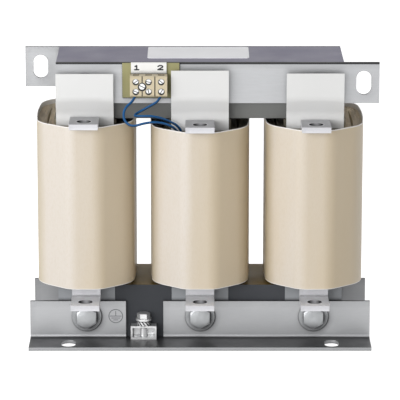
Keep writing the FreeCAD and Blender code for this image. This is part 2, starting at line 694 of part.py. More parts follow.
def build_terminal(name, across, up, leg_down):
    """Flat bar bent to an angle, its leg in the coil and its lug in front."""
    body = new_body(name)
    sketch = new_sketch(body, "bar", "YZ_Plane")
    back, front, tip = "-" + BAR_BACK, "-" + BAR_FRONT, "-" + BAR_TIP
    low, high = up, "%s + bar_thickness" % up
    if leg_down:
        end = "%s - bar_leg + bar_thickness" % up
        corners = [(tip, low), (front, low), (front, end), (back, end), (back, high), (tip, high)]
        inside, outside = (front, low), (back, high)
    else:
        end = "%s + bar_leg" % up
        corners = [(tip, low), (back, low), (back, end), (front, end), (front, high), (tip, high)]
        inside, outside = (front, high), (back, low)
    outline(sketch, corners)
    pad(body, sketch, "bar_width", symmetric=True)
    fillet(body, along_edges(body, *inside), "bar_bend", "inner_bend")
    fillet(body, along_edges(body, *outside), "bar_bend + bar_thickness", "outer_bend")
    hole = new_sketch(body, "hole", "XY_Plane")
    ring_hole(hole, "0", tip + " + bar_hole_setback", "bar_hole_radius")
    pocket(body, hole)
    return place(body, across)


def build_upper_shield(name, across, foot, top):
    """Stiff sheet that stands on the inner winding and leans forward past the bolt head."""
    body = new_body(name)
    sketch = new_sketch(body, "side", "YZ_Plane")
    low_back = "-%s + shield_thickness" % INNER_FACE
    high_back = "%s - washer_thickness - head_height - shield_fit" % UPPER_FACE
    low_front = "-" + INNER_FACE
    high_front = high_back + " - shield_thickness"
    outline(sketch, [
        (low_front, foot), (low_back, foot), (low_back, LEAN_START), (high_back, LEAN_END),
        (high_back, top), (high_front, top), (high_front, LEAN_END), (low_front, LEAN_START)])
    pad(body, sketch, "shield_width", symmetric=True)
    for index, corner in enumerate(((low_back, LEAN_START), (low_front, LEAN_START),
                                    (high_back, LEAN_END), (high_front, LEAN_END))):
        fillet(body, along_edges(body, *corner), "shield_bend", "bend_%d" % index)
    return place(body, across)


def build_lower_shield(name, across):
    """Flat sheet clamped between the lower yoke and its front bracket."""
    body = new_body(name)
    sketch = new_sketch(body, "sheet", "XZ_Plane")
    rectangle(sketch, "-shield_width / 2", "shield_width / 2", "lower_shield_bottom", "yoke_height - lower_shield_drop")
    ring_hole(sketch, "0", "lower_bolt_up", CORE_HOLE)
    pad(body, sketch, "shield_thickness")
    return place(body, across, "-" + HALF_DEPTH)


# Terminal block of the temperature switch

BLOCK_BACK = "(%s - backing_thickness)" % UPPER_FACE
BLOCK_FRONT = "(%s - block_depth)" % BLOCK_BACK
FIXING_ACROSS = "(block_centre - pole_pitch / 2)"
FIXING_UP = "(%s + (screw_row_lower + screw_row_upper) / 2)" % BLOCK_BOTTOM
POLES = (-1, 0, 1)


def build_backing():
    top = CORE_TOP + " - backing_drop"
    sheet_blank = box("backing_blank", ("backing_left", "backing_right"), (BLOCK_BACK, UPPER_FACE),
                      (top + " - backing_height", top))
    bore = cylinder("backing_bore", "fixing_hole_radius", "backing_thickness + 2",
                    (FIXING_ACROSS, BLOCK_BACK + " - 1", FIXING_UP), backwards=True)
    return cut("block_backing", sheet_blank, bore)


def build_block():
    """Moulded block with a wire channel, two screw wells and a groove for each pole."""
    body = new_body("terminal_block")
    side = new_sketch(body, "side", "YZ_Plane")
    outline(side, [
        ("0", "0"), ("0", "block_height"), ("-block_depth + block_edge", "block_height"),
        ("-block_depth", "block_height - block_edge"), ("-block_depth", "block_edge"),
        ("-block_depth + block_edge", "0")])
    pad(body, side, "block_width", symmetric=True)
    channels = new_sketch(body, "channels", "XY_Plane")
    for pole in POLES:
        centre = "%d * pole_pitch" % pole
        rectangle(channels, centre + " - channel_size / 2", centre + " + channel_size / 2",
                  "-channel_back - channel_size", "-channel_back")
    pocket(body, channels)
    wells = new_sketch(body, "wells", "XZ_Plane", lift="block_depth")
    for pole in POLES:
        for level in ("screw_row_lower", "screw_row_upper"):
            ring_hole(wells, "%d * pole_pitch" % pole, level, "screw_well_radius")
    pocket(body, wells, "block_depth - channel_back - channel_size / 2")
    well = new_sketch(body, "fixing_well", "XZ_Plane", lift="block_depth")
    middle = "(screw_row_lower + screw_row_upper) / 2"
    ring_hole(well, "-pole_pitch / 2", middle, "fixing_well_radius")
    pocket(body, well, "fixing_well_depth")
    hole = new_sketch(body, "fixing_hole", "XZ_Plane")
    ring_hole(hole, "-pole_pitch / 2", middle, "fixing_hole_radius")
    pocket(body, hole)
    grooves = new_sketch(body, "grooves", "XZ_Plane", lift="block_depth")
    for side_sign in (-1, 1):
        centre = "%d * pole_pitch / 2" % side_sign
        rectangle(grooves, centre + " - pole_groove / 2", centre + " + pole_groove / 2", "-1", "block_height + 1")
    pocket(body, grooves, "pole_groove_depth")
    return place(body, "block_centre", BLOCK_BACK, BLOCK_BOTTOM)


def driver_slot(name, radius, across, front, up, turn):
    """Blade for a driver slot across a screw head, turned by some degrees."""
    blade = doc.addObject("Part::Box", name)
    bind(blade, {"Length": "2 * %s + 2" % radius, "Width": "screw_slot_depth + 1", "Height": "screw_slot_width"})
    spin = Rotation(Vector(0, 1, 0), turn)
    half = Vector(value("%s + 1" % radius), 1, value("screw_slot_width / 2"))
    start = Vector(value(across), value(front), value(up)) - spin.multVec(half)
    blade.Placement = Placement(start, spin)
    return blade


def slotted_screw(name, place_at, head, shank, turn):
    """Cheese-head screw along Y: place of the head's front, head and shank sizes."""
    across, front, up = place_at
    head_radius, head_height = head
    shank_radius, shank_length = shank
    top = cylinder(name + "_top", head_radius, head_height, (across, front, up), backwards=True)
    stem = cylinder(name + "_stem", shank_radius, "%s + %s" % (head_height, shank_length), (across, front, up),
                    backwards=True)
    return cut(name, fuse(name + "_blank", [top, stem]),
               driver_slot(name + "_slot", head_radius, across, front, up, turn))


def build_block_metal():
    """Wire clamps, their screws and the fixing screw."""
    clamps, screws = [], []
    turns = iter((20, -35, 75, 10, -60, 40))
    front = BLOCK_FRONT + " + screw_sink"
    clamp_front = "(%s - channel_back - channel_size + channel_play)" % BLOCK_BACK
    for pole in POLES:
        centre = "block_centre + %d * pole_pitch" % pole
        half = "(channel_size / 2 - channel_play)"
        blank = box("pole_%d_blank" % (pole + 1), ("%s - %s" % (centre, half), "%s + %s" % (centre, half)),
                    (clamp_front, "%s - channel_back - channel_play" % BLOCK_BACK),
                    (BLOCK_BOTTOM + " + clamp_lift", BLOCK_BOTTOM + " + clamp_lift + clamp_height"))
        taps = []
        for level, row in (("lower", "screw_row_lower"), ("upper", "screw_row_upper")):
            up = "%s + %s" % (BLOCK_BOTTOM, row)
            name = "pole_%d_%s" % (pole + 1, level)
            taps.append(cylinder(name + "_tap", "screw_tap_radius", "channel_size", (centre, clamp_front + " - 1", up),
                                 backwards=True))
            reach = "%s - (%s) - screw_head_height + 2" % (clamp_front, front)
            screws.append(slotted_screw(name + "_screw", (centre, front, up),
                                        ("screw_head_radius", "screw_head_height"),
                                        ("screw_shank_radius", "(%s)" % reach), next(turns)))
        clamps.append(cut("pole_%d_clamp" % (pole + 1), blank, fuse("pole_%d_taps" % (pole + 1), taps)))
    seat = "%s + fixing_well_depth - fixing_head_height" % BLOCK_FRONT
    reach = "(%s - (%s) - fixing_head_height)" % (UPPER_FACE, seat)
    fixing = slotted_screw("block_screw", (FIXING_ACROSS, seat, FIXING_UP),
                           ("fixing_head_radius", "fixing_head_height"), ("fixing_shank_radius", reach), 25)
    return [group("wire_clamps", clamps), group("clamp_screws", screws), fixing]


def build_marker():
    half = "marker_width / 2"
    bottom = CORE_TOP + " - marker_drop"
    return box("marker_strip", ("block_centre - " + half, "block_centre + " + half),
               (BLOCK_BACK + " - marker_thickness", BLOCK_BACK), (bottom, bottom + " + marker_height"))


# Temperature switch and its two leads

# Points that the leads follow, chosen by hand: from a wire clamp of the block in loose
# loops over the rim of the centre coil and down to the switch in its cooling duct.
LEAD_ROUTES = {
    "thermal_lead_1": [
        (-55.4, -47.3, 224.4), (-57.0, -47.8, 218.3), (-65.9, -52.0, 211.7), (-66.2, -57.0, 202.4),
        (-59.1, -60.0, 197.0), (-46.8, -59.5, 200.9), (-34.5, -58.5, 201.2), (-24.5, -56.5, 197.2),
        (-20.8, -52.6, 193.2), (-18.2, -48.4, 188.6), (-18.2, -48.4, 182.0)],
    "thermal_lead_2": [
        (-33.4, -47.3, 224.35), (-34.9, -47.2, 218.0), (-43.0, -46.4, 213.0), (-51.2, -45.2, 208.2),
        (-56.2, -49.6, 206.2), (-56.2, -56.6, 206.0), (-50.6, -61.4, 206.9), (-43.3, -61.6, 207.2),
        (-34.5, -59.0, 205.2), (-27.5, -53.5, 201.2), (-19.6, -49.6, 196.6), (-15.2, -47.0, 189.0),
        (-15.2, -47.0, 182.0)]}
RUN_SHARE = 0.45


def route_wire(points):
    """Straight runs joined by arcs as large as the runs beside them allow."""
    points = [Vector(*point) for point in points]
    edges, radii = [], []
    last = points[0]
    for before, corner, after in zip(points, points[1:], points[2:]):
        arrive, leave = before - corner, after - corner
        shorter = min(arrive.Length, leave.Length)
        arrive.normalize()
        leave.normalize()
        half_turn = (math.pi - arrive.getAngle(leave)) / 2
        setback = RUN_SHARE * shorter
        radius = setback / math.tan(half_turn)
        start, end = corner + arrive * setback, corner + leave * setback
        inward = arrive + leave
        inward.normalize()
        middle = corner + inward * (radius / math.cos(half_turn) - radius)
        edges += [Part.LineSegment(last, start).toShape(), Part.Arc(start, middle, end).toShape()]
        radii.append(radius)
        last = end
    edges.append(Part.LineSegment(last, points[-1]).toShape())
    return Part.Wire(edges), radii


def build_lead(name, points):
    """Round lead along its route."""
    wire, radii = route_wire(points)
    radius = value("lead_radius")
    heading = Vector(*points[1]) - Vector(*points[0])
    profile = Part.Wire([Part.makeCircle(radius, Vector(*points[0]), heading)])
    tube = wire.makePipeShell([profile], True, True)
    if tube.ShapeType != "Solid":
        tube = Part.makeSolid(tube)
    item = doc.addObject("Part::Feature", name)
    item.Shape = tube
    ideal = math.pi * radius ** 2 * wire.Length
    listed = " ".join("%.1f" % one for one in radii)
    print("%s length %.1f volume %.1f of %.1f radii %s" % (name, wire.Length, tube.Volume, ideal, listed))
    return item


def build_switch():
    """Moulded temperature switch that lies on the inner winding."""
    body = new_body("thermal_switch")
    sketch = new_sketch(body, "front", "XZ_Plane")
    right = "-bar_width / 2 - switch_fit"
    rectangle(sketch, right + " - switch_width", right, SWITCH_TOP + " - switch_height", SWITCH_TOP)
    pad(body, sketch, "switch_depth")
    doc.recompute()
    front = value("-switch_depth")
    edges = edges_near(body.Tip.Shape, lambda middle, edge: abs(middle.y - front) < 0.01)
    fillet(body, edges, "switch_edge", "soft_edges")
    return place(body, "0", "-" + BAR_BACK)


# Earth clamp on the foot flange, in the notch of the front bracket

EARTH_BACK = "(-stack_depth / 2 - earth_setback)"
EARTH_FLOOR = "(plate_thickness + earth_base_thickness)"
CAP_TOP = "(plate_thickness + earth_base_thickness + earth_cap_height)"
EARTH_HOLE = "(earth_screw_radius + earth_screw_fit)"


def earth_bore(name, low, high):
    return cylinder(name, EARTH_HOLE, "(%s) - (%s) + 2" % (high, low), ("earth_centre", EARTH_BACK, low + " - 1"))


def build_earth_clamp():
    """Base plate, cap, toothed washer, flat washer and screw."""
    sides = ("earth_centre - earth_width / 2", "earth_centre + earth_width / 2")
    depth = (EARTH_BACK + " - earth_depth / 2", EARTH_BACK + " + earth_depth / 2")
    base = box("earth_base_blank", sides, depth, ("plate_thickness", EARTH_FLOOR))
    base_plate = cut("earth_base", base, earth_bore("earth_base_bore", "plate_thickness", EARTH_FLOOR))

    cap = box("earth_cap_blank", sides, depth, (EARTH_FLOOR, CAP_TOP))
    hollow = box("earth_cap_hollow", (sides[0] + " + earth_sheet", sides[1] + " - earth_sheet"),
                 (depth[0] + " - 1", depth[1] + " - earth_sheet"), (EARTH_FLOOR + " - 1", CAP_TOP + " - earth_sheet"))
    room = fuse("earth_cap_room", [hollow, earth_bore("earth_cap_bore", EARTH_FLOOR, CAP_TOP)])
    saddle = cut("earth_saddle", cap, room)

    start = ("earth_centre", EARTH_BACK, CAP_TOP)
    lock_top = "(%s + lock_washer_height)" % CAP_TOP
    disc = cylinder("lock_washer_disc", "lock_washer_radius", "lock_washer_height", start)
    gaps = [earth_bore("lock_washer_bore", CAP_TOP, lock_top)]
    count = int(value("lock_tooth_count"))
    for index in range(count):
        blade = doc.addObject("Part::Box", "lock_gap_%d" % index)
        bind(blade, {"Length": "lock_washer_radius", "Width": "lock_tooth_gap", "Height": "2 * lock_washer_height"})
        lean = Rotation(Vector(0, 0, 1), 360.0 / count * index) * Rotation(Vector(1, 0, 0), 38)
        inner = value("lock_washer_radius") * 0.72
        offset = Vector(inner, -value("lock_tooth_gap") / 2, -value("lock_washer_height"))
        middle = Vector(value("earth_centre"), value(EARTH_BACK), value(CAP_TOP + " + lock_washer_height / 2"))
        blade.Placement = Placement(middle + lean.multVec(offset), lean)
        gaps.append(blade)
    lock_washer = cut("earth_lock_washer", disc, fuse("lock_washer_gaps", gaps))

    flat_top = "(%s + flat_washer_height)" % lock_top
    flat = cylinder("flat_washer_disc", "flat_washer_radius", "flat_washer_height",
                    ("earth_centre", EARTH_BACK, lock_top))
    flat_washer = cut("earth_flat_washer", flat, earth_bore("flat_washer_bore", lock_top, flat_top))

    head = hexagon("earth_head", "earth_head_flats", "earth_head_height", ("earth_centre", EARTH_BACK, flat_top))
    shank = cylinder("earth_shank", "earth_screw_radius", flat_top + " - 0.3", ("earth_centre", EARTH_BACK, "0.3"))
    screw = fuse("earth_screw", [head, shank])
    return [base_plate, saddle, lock_washer, flat_washer, screw]


def build_rating_plate():
    """Thin plate with round corners on the upper yoke."""
    body = new_body("rating_plate")
    sketch = new_sketch(body, "sheet", "XY_Plane")
    rectangle(sketch, "-rating_width / 2", "rating_width / 2", "-rating_depth / 2", "rating_depth / 2")
    pad(body, sketch, "rating_thickness")
    doc.recompute()
    upright = edges_near(body.Tip.Shape, lambda middle, edge: edge.BoundBox.ZLength > 0.9 * edge.Length)
    fillet(body, upright, "rating_corner", "corners")
    return place(body, "rating_across", "rating_back", CORE_TOP)


def tap_foot(bracket):
    """The earth screw's hole in the foot flange."""
    hole = new_sketch(bracket, "earth_tap", "XY_Plane")
    ring_hole(hole, "earth_centre", "-earth_setback + shield_thickness", EARTH_HOLE)
    feature = bracket.newObject("PartDesign::Pocket", "earth_tap_pocket")
    feature.Profile = hole
    feature.Reversed = True
    bind(feature, {"Length": "plate_thickness + 2"})


def build_all():
    nodes = [build_yoke("upper_yoke", WINDOW_TOP, UPPER_BOLT), build_yoke("lower_yoke", "0", "lower_bolt_up")]
    for phase, across in PHASES.items():
        nodes += build_limb(phase, across)

    front_upper = build_upper_bracket("front_upper_bracket")
    place(front_upper, "0", "-" + HALF_DEPTH)
    back_upper = build_upper_bracket("back_upper_bracket")
    turn_back(back_upper, HALF_DEPTH)
    front_lower = build_lower_bracket("front_lower_bracket", notched=True)
    tap_foot(front_lower)
    place(front_lower, "0", "-%s - shield_thickness" % HALF_DEPTH)
    back_lower = build_lower_bracket("back_lower_bracket", notched=False)
    turn_back(back_lower, HALF_DEPTH)
    nodes += [front_upper, back_upper, front_lower, back_lower]

    nodes += build_clamping()
    plan = CoilPlan()
    for phase, across in PHASES.items():
        nodes += build_coil(phase, across, plan)
        winding_top = coil_top(phase) + " - rim_recess"
        upper_bar = "(%s - %s_bar_drop)" % (WINDOW_TOP, phase)
        shield_top = "%s - %s_shield_drop" % (CORE_TOP, phase)
        nodes += [
            build_terminal(phase + "_upper_terminal", across, upper_bar, leg_down=True),
            build_terminal(phase + "_lower_terminal", across, "(yoke_height - lower_bar_drop)", leg_down=False),
            build_upper_shield(phase + "_upper_shield", across, winding_top, shield_top),
            build_lower_shield(phase + "_lower_shield", across)]

    nodes += [build_backing(), build_block()]
    nodes += build_block_metal()
    nodes += [build_marker(), build_switch()]
    nodes += [build_lead(name, points) for name, points in LEAD_ROUTES.items()]
    nodes += build_earth_clamp()
    nodes.append(build_rating_plate())
    return nodes


nodes = build_all()
doc.recompute()

faults = []
for item in doc.Objects:
    if "Invalid" in item.State or "Error" in item.State:
        faults.append("%s is %s" % (item.Name, item.State))
for node in nodes:
    if node.Shape.isNull() or not node.Shape.isValid() or not node.Shape.Solids:
        faults.append("%s has no valid solid" % node.Name)
if faults:
    raise RuntimeError("; ".join(faults))

os.makedirs("parts", exist_ok=True)
for node in nodes:
    node.Label = node.Name
    node.Shape.exportStep("parts/%s.step" % node.Label)
print("%d nodes" % len(nodes))
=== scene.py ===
import math

import bmesh
import bpy
from bpy.props import FloatProperty, FloatVectorProperty, IntProperty, PointerProperty
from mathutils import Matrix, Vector


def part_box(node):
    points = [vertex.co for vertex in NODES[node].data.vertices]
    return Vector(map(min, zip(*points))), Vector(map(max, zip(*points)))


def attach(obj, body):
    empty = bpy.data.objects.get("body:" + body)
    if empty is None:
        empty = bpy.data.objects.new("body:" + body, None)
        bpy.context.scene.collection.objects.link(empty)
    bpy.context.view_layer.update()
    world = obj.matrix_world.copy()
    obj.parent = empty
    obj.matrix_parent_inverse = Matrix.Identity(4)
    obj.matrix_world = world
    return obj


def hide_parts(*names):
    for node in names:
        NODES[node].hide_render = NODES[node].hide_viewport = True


bl_info = {
    "name": "Three-phase reactor",
    "version": (1, 0, 0),
    "blender": (4, 5, 0),
    "location": "View3D > Sidebar > Reactor",
    "description": "Finishes, windings, fasteners and leads of a three-phase reactor on its packed frame",
    "category": "Object",
}

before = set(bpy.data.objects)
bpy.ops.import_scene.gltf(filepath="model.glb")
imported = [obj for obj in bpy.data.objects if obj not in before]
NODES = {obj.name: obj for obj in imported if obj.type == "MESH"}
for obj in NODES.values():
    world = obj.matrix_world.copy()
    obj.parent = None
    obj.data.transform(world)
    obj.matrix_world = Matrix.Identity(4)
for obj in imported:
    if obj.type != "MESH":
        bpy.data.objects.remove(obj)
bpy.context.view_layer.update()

PHASES = {"left": -0.1, "centre": 0.0, "right": 0.1}
MM = 0.001
# Pitch of a feature that isn't repeated
FAR = 1.0


def linear(code):
    """Linear colour of a six-digit display colour."""
    shares = [int(code[start:start + 2], 16) / 255 for start in (0, 2, 4)]
    return tuple(share / 12.92 if share <= 0.04045 else ((share + 0.055) / 1.055) ** 2.4
                 for share in shares)


def darker(base, share):
    return tuple(part * share for part in base)


def lighter(base, share):
    return tuple(part + (1 - part) * share for part in base)


PRESSBOARD = linear("8E8672")
GAP_LAMINATE = linear("A39A68")
SLEEVE_PLASTIC = linear("8F8460")
SWITCH_BLACK = linear("26272A")
# Painted shade at the left edge of a wrap
WRAP_EDGE_SHADE = linear("A8955F")
STAMPED = linear("67696C")
STAMPED_BRIGHT = linear("8A8C8F")
INK = linear("1B1B1D")
WORN_INK = linear("3A3A3E")
# Painted shade in crevices and gaps
PAINTED_SHADE = (0.012, 0.012, 0.013)
# Painted shade and painted light for faces that lie flat
PAINTED_TOP_SHADE = (0.03, 0.03, 0.032)
PAINTED_TOP_LIGHT = (0.95, 0.95, 0.97)
# Painted reflection and shadow at the edge of the block's screws
PAINTED_REFLECTION_AND_SHADOW = (0.01, 0.01, 0.012)

# Way towards the light, the side on which crevices are looked for; the painted shade in them falls on the
# side away from it
SHADE_LEAN = (-0.5, 0.0, 0.7)

# Points along the straight side of a coil, in shares of its half
SIDE_STEPS = (-0.9, -0.6, -0.3, 0.0, 0.3, 0.6, 0.9)


# Settings


def distance(name, default, description):
    return FloatProperty(name=name, description=description, default=default, min=0, precision=5,
                         unit="LENGTH")


def colour(name, code, description):
    return FloatVectorProperty(name=name, description=description, default=linear(code), size=3,
                               min=0, max=1, subtype="COLOR")


def power(name, default, description):
    return FloatProperty(name=name, description=description, default=default, unit="POWER")


def level(name, default, description):
    return FloatProperty(name=name, description=description, default=default)


class ReactorCoilSettings(bpy.types.PropertyGroup):
    shoulder_radius: distance("Shoulder radius", 0.030, "Rounding between the side and the front of a coil")
    front_half: distance("Front half", 0.013, "Half the flat at the front of a coil")
    side_half: distance("Side half", 0.032, "Half the straight side of a coil")
    side_bulge: distance("Side bulge", 0.0013, "How far the middle of a coil's side stands out")
    soft_crease: distance("Soft crease", 0.007, "Rounding to each side of a crease of the coil")
    wrap_wall: distance("Wrap wall", 0.001, "Thickness of the outer wrap")
    wrap_wave: distance("Wrap wave", 0.00025, "How far the wrap waves in and out")
    flap_step: distance("Flap step", 0.0003, "Height of the wrap's free edge")
    winding_start: distance("Winding start", 0.0012, "Outer winding behind the skin of the coil")
    outer_build: distance("Outer build", 0.008, "Thickness of the outer winding")
    inner_build: distance("Inner build", 0.005, "Thickness of the inner winding")
    inner_skin: distance("Inner skin", 0.0072, "Outside of the inner winding from the limb")
    turn_pitch: distance("Turn pitch", 0.001, "Distance between two visible turns")
    foil_thickness: distance("Foil", 0.0006, "Thickness of the foil edges")
    paper_thickness: distance("Paper", 0.0003, "Thickness of the paper edges")
    foil_recess: distance("Foil recess", 0.0014, "Foil edge behind the paper edges")
    edge_play: distance("Edge play", 0.0003, "How unevenly the edges end")
    seed: IntProperty(name="Seed", description="Seed of the uneven edges", default=7)
    wrap_colour: colour("Wrap", "D3CBC1", "Cream of the outer wrap")
    # Also the painted shade on the right of each coil
    wrap_shade: colour("Wrap shade", "CAB898", "Darker side and fibres of the outer wrap")
    paper_colour: colour("Paper", "F8EBD3", "Insulation edges")
    foil_colour: colour("Foil", "EAD9C2", "Foil edges")


class ReactorMetalSettings(bpy.types.PropertyGroup):
    sheet_colour: colour("Sheet", "AEAFB1", "Zinc plated sheet of the brackets")
    bolt_colour: colour("Bolts", "ABADAF", "Zinc plated bolts and washers")
    core_colour: colour("Upper core", "6E6F6D", "Front of the upper laminations")
    # Painted light and reflection of the backdrop on the top of the upper core
    core_top_light_colour: colour("Upper core top", "7C798E", "Varnish on top of the upper laminations")
    # Painted shade: the lower core is the same laminations, darker in the coils' shade
    shaded_lower_core_colour: colour("Lower core", "484A4E", "Darker varnish of the lower laminations")
    # Painted reflection of the coils on the top of the lower core
    lower_top_reflection_colour: colour("Lower core top", "7E6620", "Varnish that has settled on the lower laminations")
    bar_colour: colour("Bars", "D4D4D8", "Bright terminal bars")
    head_flats: distance("Head across flats", 0.017, "Hexagon of the clamping bolts")
    head_height: distance("Head height", 0.0064, "Head of the clamping bolts")
    nut_height: distance("Nut height", 0.0084, "Nuts of the clamping bolts")
    shank_radius: distance("Shank radius", 0.005, "Shank of the clamping bolts")
    hole_radius: distance("Hole radius", 0.0062, "Hole of a terminal bar")
    hole_setback: distance("Hole setback", 0.0125, "Hole of a terminal bar from the end of the bar")
    thread_pitch: distance("Thread pitch", 0.0015, "Thread of the clamping bolts")
    washer_radius: distance("Washer radius", 0.013, "Outer radius of the washers")
    washer_bore: distance("Washer bore", 0.0055, "Inner radius of the washers")
    washer_height: distance("Washer height", 0.002, "Thickness of the washers")


class ReactorPlasticSettings(bpy.types.PropertyGroup):
    block_colour: colour("Block", "CABDA0", "Moulded terminal block")
    backing_colour: colour("Backing", "999568", "Insulating sheet behind the block")
    marker_colour: colour("Marker", "F0F0EE", "Marker strip")
    shield_colour: colour("Upper sheets", "E0E0DF", "White insulating sheets")
    # Painted shade: the lower sheets are the white sheets, grey in the coils' shade
    shaded_shield_colour: colour("Lower sheets", "94979B", "Grey insulating sheets")
    lead_colour: colour("Leads", "17588F", "Insulation of the switch leads")
    lead_diameter: distance("Lead diameter", 0.0022, "Diameter of the switch leads")
    pole_pitch: distance("Pole pitch", 0.011, "Distance between two poles of the block")
    screw_head: distance("Screw head", 0.0025, "Radius of a clamping screw")
    fixing_head: distance("Fixing head", 0.0033, "Radius of the screw that holds the block")
    digit_height: distance("Digit height", 0.0048, "Height of the digits on the marker strip")
    digit_width: distance("Digit width", 0.0044, "Width of the digits")
    digit_stroke: distance("Digit stroke", 0.0012, "Thickness of their strokes")
    plate_colour: colour("Plate", "F4F4F8", "Plain plate on the upper yoke")


class ReactorStageSettings(bpy.types.PropertyGroup):
    camera_distance: distance("Camera distance", 2.5426, "Camera in front of the reactor")
    camera_height: distance("Camera height", 0.7239, "Camera above the floor")
    aim_height: distance("Aim height", 0.1181, "Height that the camera points at")
    lens: FloatProperty(name="Lens", description="Focal length in millimetres", default=264.4, min=20)
    floor_size: distance("Floor size", 30, "Side of the floor")
    floor_colour: colour("Floor", "C4C4C4", "Colour that takes the shadow")
    floor_glow: level("Floor glow", 0.93, "White that the camera sees on the floor")
    sky_light: level("Sky light", 0.3, "Even light from all round")
    sky_top: level("Sky top", 1.5, "Even light overhead, as a multiple of the rest")
    key_light: power("Key light", 22, "Power of the large lamp on the left")
    front_light: power("Front light", 21, "Power of the lamp in front")
    fill_light: power("Fill light", 7, "Power of the lamp on the right")


SETTINGS = {
    "reactor_coil": ReactorCoilSettings,
    "reactor_metal": ReactorMetalSettings,
    "reactor_plastic": ReactorPlasticSettings,
    "reactor_stage": ReactorStageSettings,
}


# Node trees


class NodeTree:
    """Makes and joins the nodes of one tree."""

    def __init__(self, tree):
        self.tree = tree

    def join(self, value, socket):
        """Links a socket to an output, or gives it a plain value."""
        if isinstance(value, bpy.types.NodeSocket):
            self.tree.links.new(value, socket)
        else:
            socket.default_value = value

    def put(self, node, **named):
        for name, value in named.items():
            self.join(value, node.inputs[name.replace("_", " ")])

    def node(self, kind, settings=None, inputs=(), **named):
        """New node with its settings, its first inputs in order and others by name."""
        node = self.tree.nodes.new(kind)
        for name, value in (settings or {}).items():
            setattr(node, name, value)
        for value, socket in zip(inputs, node.inputs):
            self.join(value, socket)
        self.put(node, **named)
        return node

    def number(self, operation, *values):
        return self.node("ShaderNodeMath", {"operation": operation}, values).outputs[0]

    def part(self, vector, axis):
        """One coordinate of a vector."""
        return self.node("ShaderNodeSeparateXYZ", Vector=vector).outputs[axis]

    def span(self, value, low, high, out_low=0.0, out_high=1.0):
        """A range of a value turned to another range, and kept inside it."""
        made = self.node("ShaderNodeMapRange", {"clamp": True}, Value=value, From_Min=low,
                         From_Max=high, To_Min=out_low, To_Max=out_high)
        return made.outputs["Result"]


class GeometryTree(NodeTree):
    """A geometry node tree with named inputs."""

    def __init__(self, name):
        super().__init__(bpy.data.node_groups.new(name, "GeometryNodeTree"))
        for way in ("INPUT", "OUTPUT"):
            self.tree.interface.new_socket(name="Geometry", in_out=way, socket_type="NodeSocketGeometry")
        self.start = self.tree.nodes.new("NodeGroupInput")
        self.end = self.tree.nodes.new("NodeGroupOutput")

    def named_inputs(self, **kinds):
        """Adds an input of each kind, and gives their sockets in order."""
        for name, kind in kinds.items():
            self.tree.interface.new_socket(name=name, in_out="INPUT", socket_type="NodeSocket" + kind)
        return [self.start.outputs[name] for name in kinds]

    def finish(self, geometry, material):
        real = self.node("GeometryNodeRealizeInstances", Geometry=geometry)
        painted = self.node("GeometryNodeSetMaterial", Geometry=real.outputs["Geometry"], Material=material)
        self.join(painted.outputs["Geometry"], self.end.inputs["Geometry"])


